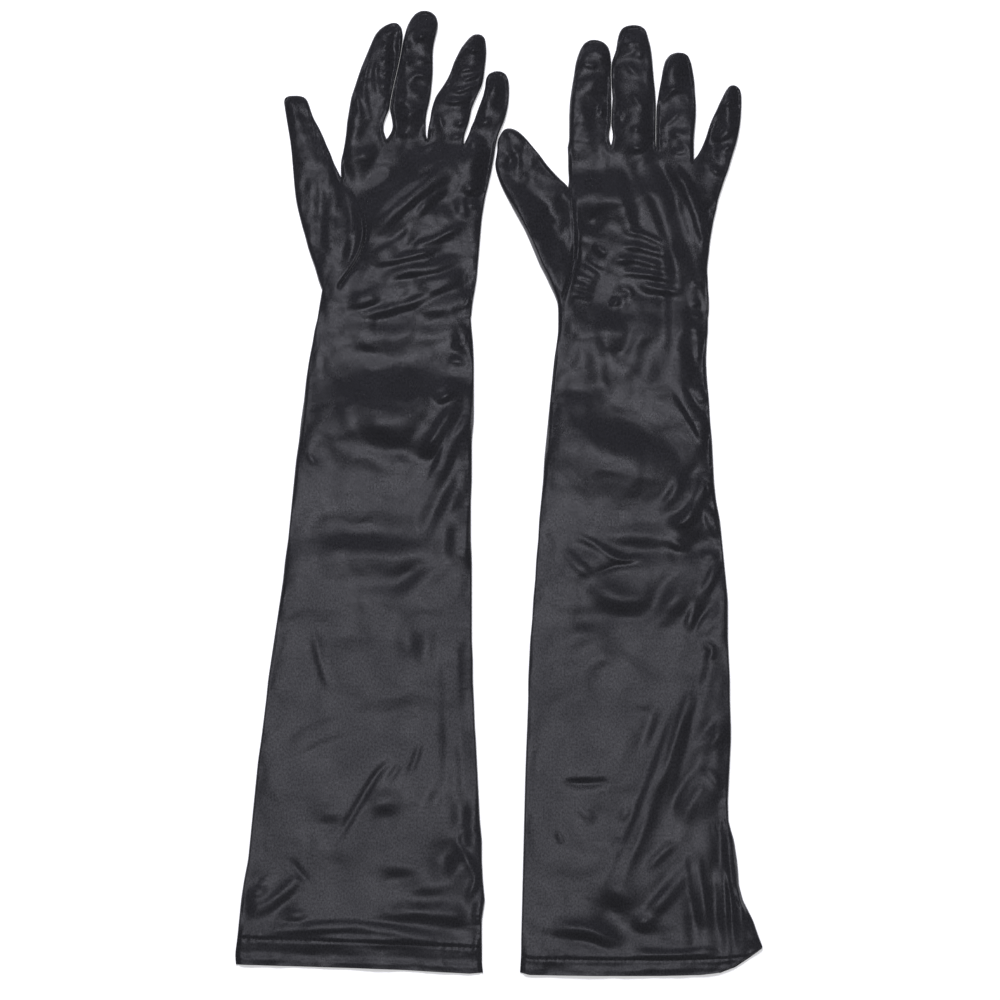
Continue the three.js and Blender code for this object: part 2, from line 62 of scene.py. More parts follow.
# ------------------------------------------------------------------ outlines
# Cut lines of the two gloves as they lie. "a" is the thumb side of a finger, "b" the little-finger side.
OUT = {
 "L": {
  "hem": [(-157.8, -282.9), (-140, -283.5), (-125.4, -283.9), (-87, -285.1), (-57, -286.2), (-35.4, -287.5), (-17.4, -288.4), (-9.6, -287.8)],
  "left_up": [(-157.8, -282.9), (-158.4, -277.5), (-157.2, -268.5), (-156, -256.5), (-154.8, -244.5), (-153, -232.5), (-150.6, -220.5), (-149.4, -208.5), (-148.2, -196.5), (-147, -184.5), (-145.8, -172.5), (-144.6, -160.5), (-142.8, -148.5), (-141.8, -140.7)],
  "left_fore": [(-141.8, -140.7), (-139.8, -124.5), (-138.6, -112.5), (-136.8, -100.5), (-135, -88.5), (-133.2, -76.5), (-131.4, -64.5), (-129.6, -52.5), (-128.4, -40.5), (-126.6, -28.5), (-125.4, -16.5), (-124.2, -4.5), (-123, 7.5), (-121.8, 19.5), (-120, 31.5), (-118.8, 43.5), (-117, 55.5), (-115.8, 67.5), (-114, 79.5), (-111.6, 91.5), (-111, 96.3), (-108.9, 104.7)],
  "left_wrist": [(-108.9, 104.7), (-108.6, 107.1), (-108, 110.7), (-107.4, 114.3), (-106.8, 117.9), (-106.2, 121.5)],
  "left_chord": [(-106.2, 121.5), (-94.8, 189.3)],
  "left_top": [(-94.8, 189.3), (-95.1, 194.7), (-94.8, 199.5), (-93.6, 204)],
  "right_up": [(-9.6, -285.9), (-10.2, -280.5), (-10.2, -268.5), (-10.2, -256.5), (-8.4, -244.5), (-9.6, -232.5), (-10.2, -220.5), (-10.2, -208.5), (-11.4, -196.5), (-12, -184.5), (-12.6, -172.5), (-13.2, -160.5), (-13.8, -148.5), (-14.4, -140.7)],
  "right_fore": [(-14.4, -140.7), (-15, -124.5), (-15.6, -112.5), (-15.6, -100.5), (-16.2, -88.5), (-16.2, -76.5), (-16.2, -64.5), (-16.2, -52.5), (-16.2, -40.5), (-16.8, -28.5), (-16.8, -16.5), (-16.8, -4.5), (-16.2, 7.5), (-16.2, 19.5), (-16.2, 31.5), (-15, 43.5), (-15, 55.5), (-15, 67.5), (-15, 79.5), (-15.6, 91.5), (-16.2, 96.3), (-16.8, 104.7)],
  "right_wrist": [(-16.8, 104.7), (-16.2, 107.1), (-16.2, 110.7), (-15.6, 114.3), (-15, 117.9), (-14.4, 121.5)],
  "right_chord": [(-14.4, 121.5), (-13.8, 125.1), (-13.2, 128.7), (-12.6, 135.9), (-12, 143.1), (-11.4, 150.3), (-10.8, 157.5), (-10.2, 164.7), (-9.6, 168.3), (-9, 171.9), (-8.4, 175.5), (-7.8, 179.1), (-6.6, 182.7), (-6, 186.3), (-4.8, 191.1)],
  "right_top": [(-4.8, 191.1), (-4.1, 194.7), (-3.4, 198.6), (-2.6, 203.1)],
  "base": [(-93.6, 204), (-67.2, 212.1), (-42.6, 212.1), (-20.4, 209), (-1.8, 203.1)],
  "thumb_a": [(-106.2, 121.5), (-107.4, 124.5), (-108.6, 128.1), (-110.4, 134.7), (-112.8, 141.3), (-114.6, 146.7), (-116.4, 153.9), (-118.2, 159.9), (-119.7, 165.9), (-121.2, 171.9), (-122.1, 177.3), (-122.7, 182.7), (-123.3, 189.9), (-123.9, 197.1), (-124.5, 204.3), (-125.4, 211.5), (-126.6, 218.7), (-127.8, 225.9), (-128.7, 231.9), (-129.2, 234.9), (-128.6, 236.9), (-126.3, 237.9), (-122.4, 238.1)],
  "thumb_b": [(-94.8, 189.3), (-96.6, 192.9), (-99, 197.7), (-101.1, 203.7), (-103.2, 207.9), (-105.3, 213.3), (-107.7, 218.4), (-111, 224.1), (-112.8, 228.9), (-114, 233.1), (-115.2, 235.8), (-116.7, 237.3), (-119.1, 237.9), (-122.4, 238.1)],
  "index_a": [(-93.6, 204), (-92.7, 209.1), (-91.8, 215.1), (-91.2, 222.3), (-90, 229.5), (-88.8, 236.7), (-87.6, 240.3), (-85.2, 247.5), (-82.8, 254.7), (-79.8, 261.9), (-76.8, 269.1), (-74.4, 274.5), (-71.4, 278.1), (-67.2, 280.8), (-63, 282)],
  "index_b": [(-67.2, 212.1), (-68.9, 216.3), (-69.1, 221.1), (-67.7, 225.4), (-65.8, 229.6), (-65.1, 234.5), (-64.05, 240.3), (-62.42, 247.5), (-60.73, 254.7), (-59.22, 261.9), (-58.0, 269.1), (-57.6, 274.0), (-58.2, 278.6), (-60.6, 281.4), (-63.0, 282.0)],
  "middle_a": [(-67.2, 212.1), (-64.9, 215.1), (-63.6, 219.0), (-64.2, 223.5), (-65.65, 229.6), (-64.95, 234.5), (-63.9, 240.3), (-62.27, 247.5), (-60.58, 254.7), (-59.07, 261.9), (-57.85, 269.1), (-57.0, 273.2), (-55.3, 279.3), (-52.8, 284.1), (-50.4, 287.1), (-47.7, 288.6), (-45, 289.2)],
  "middle_b": [(-42.6, 212.1), (-43.5, 215.1), (-43.5, 218.7), (-43.8, 223.5), (-43.2, 228.3), (-41.9, 233.1), (-40.8, 239.1), (-40.2, 245.1), (-39.6, 251.1), (-39.6, 258.3), (-39.6, 264.3), (-39, 269.1), (-37.8, 273.9), (-36.6, 278.7), (-36.6, 282.3), (-37.8, 285.9), (-40.8, 288.4), (-45, 289.2)],
  "ring_a": [(-42.6, 212.1), (-42.6, 213.9), (-42.3, 218.7), (-41.4, 223.5), (-40.8, 228.3), (-39.6, 233.1), (-37.8, 237.9), (-34.8, 242.1), (-32.4, 245.7), (-30, 249.9), (-28.2, 254.7), (-27, 258.3), (-24.6, 263.1), (-22.8, 266.7), (-20.4, 269.7), (-18, 272.7), (-15.6, 274.5), (-13.2, 275.1)],
  "ring_b": [(-20.4, 209), (-20.4, 212.7), (-19.8, 216.3), (-18.6, 219.9), (-17.4, 224.7), (-16.2, 230.7), (-14.4, 234.9), (-12, 240.3), (-10.2, 243.9), (-9, 249.3), (-8.4, 254.7), (-7.8, 259.5), (-7.5, 264.3), (-7.8, 269.1), (-8.4, 272.7), (-10.2, 274.5), (-13.2, 275.1)],
  "little_a": [(-20.4, 209), (-19.2, 211.5), (-18, 215.1), (-16.8, 219.3), (-15, 222.9), (-13.2, 228.3), (-11.4, 233.1), (-9.6, 237.9), (-8.4, 242.7), (-8.2, 246.3), (-7.5, 249.3), (-6, 251.4), (-3, 252.6), (-0.6, 252.9)],
  "little_b": [(-2.6, 203.1), (-2.2, 206.7), (-1.4, 210.6), (-0.2, 215.1), (1.7, 219.3), (3.3, 222.9), (4.8, 228.3), (5.8, 233.7), (6.2, 240.3), (6, 246.3), (4.8, 250.2), (2.4, 252.3), (-0.6, 252.9)],
 },
 "R": {
  "hem": [(12.6, -287.7), (18.6, -289.2), (60.6, -289.8), (96.6, -289.8), (120.6, -289.2), (133.8, -287.7)],
  "left_up": [(12.6, -287.7), (13.2, -277.5), (13.2, -268.5), (13.8, -244.5), (14.4, -220.5), (15, -196.5), (15.6, -172.5), (16.2, -154.5), (16.8, -140.7)],
  "left_fore": [(16.8, -140.7), (17.4, -124.5), (17.4, -112.5), (18, -100.5), (18.6, -88.5), (19.8, -76.5), (20.4, -64.5), (21.6, -52.5), (22.2, -40.5), (23.4, -28.5), (24, -16.5), (25.2, -4.5), (26.4, 7.5), (27, 19.5), (28.2, 31.5), (29.4, 43.5), (30.6, 55.5), (31.8, 67.5), (33, 79.5), (34.8, 91.5), (35.4, 96.3), (35.4, 104.7)],
  "left_wrist": [(35.4, 104.7), (35.4, 108.3), (35.4, 111.3), (34.8, 114.3)],
  "left_chord": [(34.8, 114.3), (41.4, 183.3)],
  "left_top": [(41.4, 183.3), (42, 186.3), (41.4, 193.5), (41.4, 200.7), (41.1, 207)],
  "right_up": [(133.8, -287.7), (141.6, -284.8), (149.4, -279.6), (155.4, -275.4), (158.4, -273.0), (156.0, -266.8), (152.4, -256.5), (149.4, -250.5), (146.4, -244.5), (144, -235.5), (143.4, -226.5), (142.8, -220.5), (141, -208.5), (139.2, -202.5), (137.7, -196.5), (137.4, -184.5), (138, -172.5), (138.6, -160.5), (139.2, -148.5), (139.2, -140.7)],
  "right_fore": [(139.2, -140.7), (138.6, -124.5), (138.6, -112.5), (138, -100.5), (137.4, -88.5), (137.4, -64.5), (136.2, -52.5), (135, -40.5), (133.8, -28.5), (132.6, -16.5), (130.2, -4.5), (129, 7.5), (128.4, 19.5), (127.8, 31.5), (126.6, 43.5), (126, 55.5), (124.8, 67.5), (124.2, 79.5), (124.8, 91.5), (125.4, 96.3), (125.4, 104.7)],
  "right_wrist": [(125.4, 104.7), (126, 107.1), (126, 110.7), (126, 114.3)],
  "right_chord": [(126, 114.3), (126, 117.9), (125.4, 121.5), (125.4, 128.7), (124.8, 132.3), (125.4, 139.5), (126, 143.1), (126.6, 150.3), (127.8, 157.5), (129, 164.7), (130.2, 168.3), (131.4, 175.5), (132.6, 179.1), (133.8, 182.7)],
  "right_top": [(133.8, 182.7), (134.9, 186.3), (136.2, 189.9), (137.4, 192.9)],
  "base": [(41.1, 207), (67.2, 208.5), (94.2, 206.7), (117, 199.8), (137.4, 192.9)],
  "thumb_a": [(34.8, 114.3), (33, 119.1), (30.6, 123.9), (28.2, 129.3), (24.6, 135.9), (21.6, 143.1), (18.6, 150.3), (15.4, 157.5), (11.4, 164.7), (7.4, 171.9), (3.6, 179.1), (1.2, 183.9), (-0.6, 188.5), (-2.0, 193.3), (-2.5, 197.1), (-1.6, 201.9), (-1.0, 205.7), (-1.2, 210.0), (0.2, 213.6), (2.4, 217.3)],
  "thumb_b": [(41.4, 183.3), (40.2, 185.1), (37.8, 186.9), (34.2, 190.5), (30.6, 194.4), (27.6, 198.0), (25.2, 201.6), (22.2, 205.2), (19.2, 208.8), (16.2, 212.4), (13.2, 215.4), (10.2, 217.6), (7.2, 218.6), (4.6, 218.6), (2.4, 217.3)],
  "index_a": [(41.1, 207), (42, 211.5), (42, 218.7), (42, 225.9), (42.3, 233.1), (43.2, 240.3), (43.8, 243.9), (45, 251.1), (45.6, 255.9), (46.8, 260.7), (48.6, 265.5), (51, 269.4), (54, 271.2), (56.4, 271.7)],
  "index_b": [(67.2, 208.5), (66.2, 211.5), (66.0, 215.3), (67.1, 220.3), (67.5, 229.5), (67.4, 236.7), (67.3, 243.9), (67.1, 251.1), (67.4, 257.1), (66.9, 263.1), (65.7, 267.3), (63.0, 270.0), (60.0, 271.3), (56.4, 271.7)],
  "middle_a": [(67.2, 208.5), (68.1, 211.5), (68.2, 215.3), (67.25, 220.3), (67.65, 229.5), (68.1, 236.7), (67.45, 243.9), (67.25, 251.1), (67.6, 258.3), (70.2, 265.5), (70.8, 270.3), (71.7, 274.5), (73.2, 277.8), (75.6, 279.6), (79.2, 280.4)],
  "middle_b": [(94.2, 206.7), (93.95, 211.5), (94.0, 218.7), (94.1, 225.9), (94.2, 231.5), (93.8, 240.3), (93, 247.5), (92.4, 254.7), (91.8, 261.9), (90.9, 267.9), (89.4, 273.3), (88.2, 277.5), (85.8, 279.6), (82.8, 280.4), (79.2, 280.4)],
  "ring_a": [(94.2, 206.7), (94.15, 211.5), (94.18, 218.7), (94.28, 225.9), (94.5, 231.5), (95.8, 240.3), (97.2, 247.5), (98.1, 253.5), (99.6, 258.9), (102, 262.2), (105, 263.7), (108.6, 264)],
  "ring_b": [(117, 199.8), (117, 204.3), (117, 211.5), (117.6, 218.7), (118.2, 225.9), (118.2, 233.1), (117.6, 240.3), (117.3, 246.3), (116.4, 252.3), (115.5, 257.1), (114, 261.3), (112.2, 263.2), (108.6, 264)],
  "little_a": [(117, 199.8), (118.8, 201.9), (120.6, 204.9), (122.1, 207.9), (124.2, 213.3), (126, 219.3), (127.8, 224.1), (130.2, 228.9), (132.3, 233.7), (134.4, 237.9), (136.2, 241.5), (138, 243.6), (139.8, 244.5)],
  "little_b": [(137.4, 192.9), (138.4, 196.2), (139.7, 200.7), (141, 204.9), (142.2, 208.5), (143.4, 213.3), (144.6, 219.9), (145.2, 225.9), (145.5, 233.1), (145.5, 237.9), (144.9, 241.5), (142.8, 243.9), (139.8, 244.5)],
 },
}
FINGERS = ("index", "middle", "ring", "little")
NF = 32  # columns across a finger
NC = 4 * NF  # columns across the trank
ROWS = {
    "L": {"up": 116, "fore": 188, "wrist": 13, "chord": 56, "top": 14, "finger": 76, "thumb": 84},
    "R": {"up": 116, "fore": 188, "wrist": 8, "chord": 56, "top": 16, "finger": 76, "thumb": 84},
}


def smoothstep(x):
    x = np.clip(x, 0.0, 1.0)
    return x * x * (3 - 2 * x)


def resample(poly, ts):
    p = np.asarray(poly, float)
    s = np.concatenate([[0], np.cumsum(np.hypot(*np.diff(p, axis=0).T))])
    s /= s[-1]
    return np.stack([np.interp(ts, s, p[:, 0]), np.interp(ts, s, p[:, 1])], 1)


def soften(poly, sigma=2.2, step=0.5):
    """The same line with its corners rounded; its two ends stay."""
    p = np.asarray(poly, float)
    length = np.hypot(*np.diff(p, axis=0).T).sum()
    n = max(8, int(length / step))
    q = resample(p, np.linspace(0, 1, n + 1))
    k = int(3 * sigma / step)
    w = np.exp(-0.5 * (np.arange(-k, k + 1) * step / sigma) ** 2)
    w /= w.sum()
    first = 2 * q[0] - q[1 : k + 1][::-1]
    last = 2 * q[-1] - q[-k - 1 : -1][::-1]
    e = np.concatenate([first, q, last])
    return np.stack([np.convolve(e[:, c], w, "valid") for c in (0, 1)], 1)


# ---------------------------------------------------------------------- noise
def _hash(ix, iy, seed):
    h = (ix.astype(np.int64) * 374761393 + iy.astype(np.int64) * 668265263 + seed * 2147483647) & 0xFFFFFFFF
    h = ((h ^ (h >> 13)) * 1274126177) & 0xFFFFFFFF
    return ((h ^ (h >> 16)) & 0xFFFFFF).astype(float) / 0xFFFFFF


def noise(x, y, seed=0):
    """Gradient noise, about -1 to 1, one bump per unit."""
    x = np.asarray(x, float)
    y = np.asarray(y, float)
    x0, y0 = np.floor(x), np.floor(y)
    fx, fy = x - x0, y - y0
    u, v = fx * fx * fx * (fx * (fx * 6 - 15) + 10), fy * fy * fy * (fy * (fy * 6 - 15) + 10)

    def g(dx, dy):
        a = 2 * np.pi * _hash(x0 + dx, y0 + dy, seed)
        return np.cos(a) * (fx - dx) + np.sin(a) * (fy - dy)

    top = g(0, 0) * (1 - u) + g(1, 0) * u
    bot = g(0, 1) * (1 - u) + g(1, 1) * u
    return 1.5 * (top * (1 - v) + bot * v)


# ---------------------------------------------------------------------- grids
def edge_dense(n, a=0.72):
    u = np.linspace(0, 1, n + 1)
    return u - a * np.sin(2 * np.pi * u) / (2 * np.pi)


def build_grids(g):
    """Plan grids of one glove: trunk, four fingers, thumb. Each is an array (rows + 1, columns + 1, 2)."""
    o = OUT[g]
    r = ROWS[g]
    left, right, marks = [], [], {"up": 0}
    at = 0
    for name in ("up", "fore", "wrist", "chord", "top"):
        n = r[name]
        ts = np.linspace(0, 1, n + 1)
        if name == "up":  # rows gather towards the mouth
            ts = ts - 0.35 * np.sin(np.pi * ts) / np.pi
            ts = (ts - ts[0]) / (ts[-1] - ts[0])
        l = resample(soften(o["left_" + name]) if name != "chord" else o["left_chord"], ts)
        q = resample(soften(o["right_" + name], 0.6 if name == "up" else 2.2), ts)
        if at:
            l, q = l[1:], q[1:]
        left.append(l)
        right.append(q)
        at += n
        marks[name + "_end"] = at
    left, right = np.concatenate(left), np.concatenate(right)
    rows = len(left)
    t_sleeve = edge_dense(NC)
    base = np.asarray(o["base"], float)
    local = edge_dense(NF)
    t_base = np.concatenate([(base[k, 0] + local[:-1] * (base[k + 1, 0] - base[k, 0]) - base[0, 0]) / (base[4, 0] - base[0, 0]) for k in range(4)] + [[1.0]])
    j = np.arange(rows)
    w = smoothstep((j - marks["fore_end"]) / (rows - 1 - marks["fore_end"]))[:, None]
    t = t_sleeve[None] * (1 - w) + t_base[None] * w
    trunk = left[:, None] * (1 - t[..., None]) + right[:, None] * t[..., None]
    # the mouth's own line, faded in over its last rows
    hem = np.asarray(o["hem"], float)
    hx = left[0, 0] + (right[0, 0] - left[0, 0]) * t[0]
    dev = np.interp(hx, hem[:, 0], hem[:, 1]) - (left[0, 1] + (right[0, 1] - left[0, 1]) * t[0])
    fade = (1 - smoothstep(j / 40.0))[:, None]
    trunk[..., 1] += dev[None] * fade
    # the roots of the fingers
    bx = base[0, 0] + (base[4, 0] - base[0, 0]) * t[-1]
    devb = np.interp(bx, base[:, 0], base[:, 1]) - (base[0, 1] + (base[4, 1] - base[0, 1]) * t[-1])
    fadeb = smoothstep((j - (rows - 1 - 34)) / 34.0)[:, None]
    trunk[..., 1] += devb[None] * fadeb
    grids = {"trunk": trunk}
    for k, f in enumerate(FINGERS):
        n = r["finger"]
        u = np.linspace(0, 1, n + 1)
        ts = (1 - (1 - u) ** 1.35) * 0.988
        a = resample(soften(o[f + "_a"], 1.2), ts)
        b = resample(soften(o[f + "_b"], 1.2), ts)
        grid = a[:, None] * (1 - local[None, :, None]) + b[:, None] * local[None, :, None]
        root = trunk[-1, k * NF : (k + 1) * NF + 1]
        grid = grid + (root - grid[0])[None] * (1 - smoothstep(u / 0.15))[:, None, None]
        grid[0] = root
        grids[f] = grid
    n = r["thumb"]
    u = np.linspace(0, 1, n + 1)
    ts = (1 - (1 - u) ** 1.25) * 0.988
    a = resample(soften(o["thumb_a"], 1.6), ts)
    b = resample(soften(o["thumb_b"], 1.6), ts)
    m = r["chord"]
    cu, cd = np.linspace(0, 1, m + 1), edge_dense(m, 0.8)
    c = cu[None] * (1 - smoothstep(u / 0.25))[:, None] + cd[None] * smoothstep(u / 0.25)[:, None]
    grid = a[:, None] * (1 - c[..., None]) + b[:, None] * c[..., None]
    root = trunk[marks["wrist_end"] : marks["chord_end"] + 1, 0]
    grid = grid + (root - grid[0])[None] * (1 - smoothstep(u / 0.12))[:, None, None]
    grid[0] = root
    grids["thumb"] = grid
    return grids, marks


def silhouette(grids, marks):
    """The outline as segments, each with its arc length and whether it is a seam: rows (x0, y0, x1, y1, s0, seam)."""
    t = grids["trunk"]
    chains = [(t[: marks["wrist_end"] + 1, 0], 0), (t[marks["chord_end"] :, 0], 0), (t[:, -1], 1)]
    for f in FINGERS:
        chains += [(grids[f][:, 0], 1), (grids[f][:, -1], 1), (grids[f][-1, :], 0)]
    chains += [(grids["thumb"][:, 0], 0), (grids["thumb"][:, -1], 1), (grids["thumb"][-1, :], 0)]
    rows = []
    s = 0.0
    for chain, seam in chains:
        length = np.hypot(*np.diff(chain, axis=0).T).sum()
        n = max(1, int(length / 3.0))
        q = resample(chain, np.linspace(0, 1, n + 1)) if length > 0.1 else chain[[0, -1]]
        for a, b in zip(q[:-1], q[1:]):
            rows.append((a[0], a[1], b[0], b[1], s, seam))
            s += math.hypot(*(b - a))
        s += 50.0
    return np.array(rows)


def edge_field(xy, segs):
    """Distance to the outline, arc length of the nearest place on it, and whether that is a seam."""
    p = xy.reshape(-1, 2)
    best = np.full(len(p), 1e9)
    arc = np.zeros(len(p))
    seam = np.zeros(len(p))
    a, d = segs[:, :2], segs[:, 2:4] - segs[:, :2]
    dd = (d * d).sum(1) + 1e-12
    length = np.sqrt(dd)
    for start in range(0, len(p), 8192):
        q = p[start : start + 8192]
        rel = q[:, None] - a[None]
        t = np.clip((rel * d[None]).sum(2) / dd[None], 0, 1)
        e = rel - t[..., None] * d[None]
        dist = (e * e).sum(2)
        k = dist.argmin(1)
        i = np.arange(len(q))
        best[start : start + 8192] = np.sqrt(dist[i, k])
        arc[start : start + 8192] = segs[k, 4] + t[i, k] * length[k]
        seam[start : start + 8192] = segs[k, 5]
    shape = xy.shape[:-1]
    return best.reshape(shape), arc.reshape(shape), seam.reshape(shape)


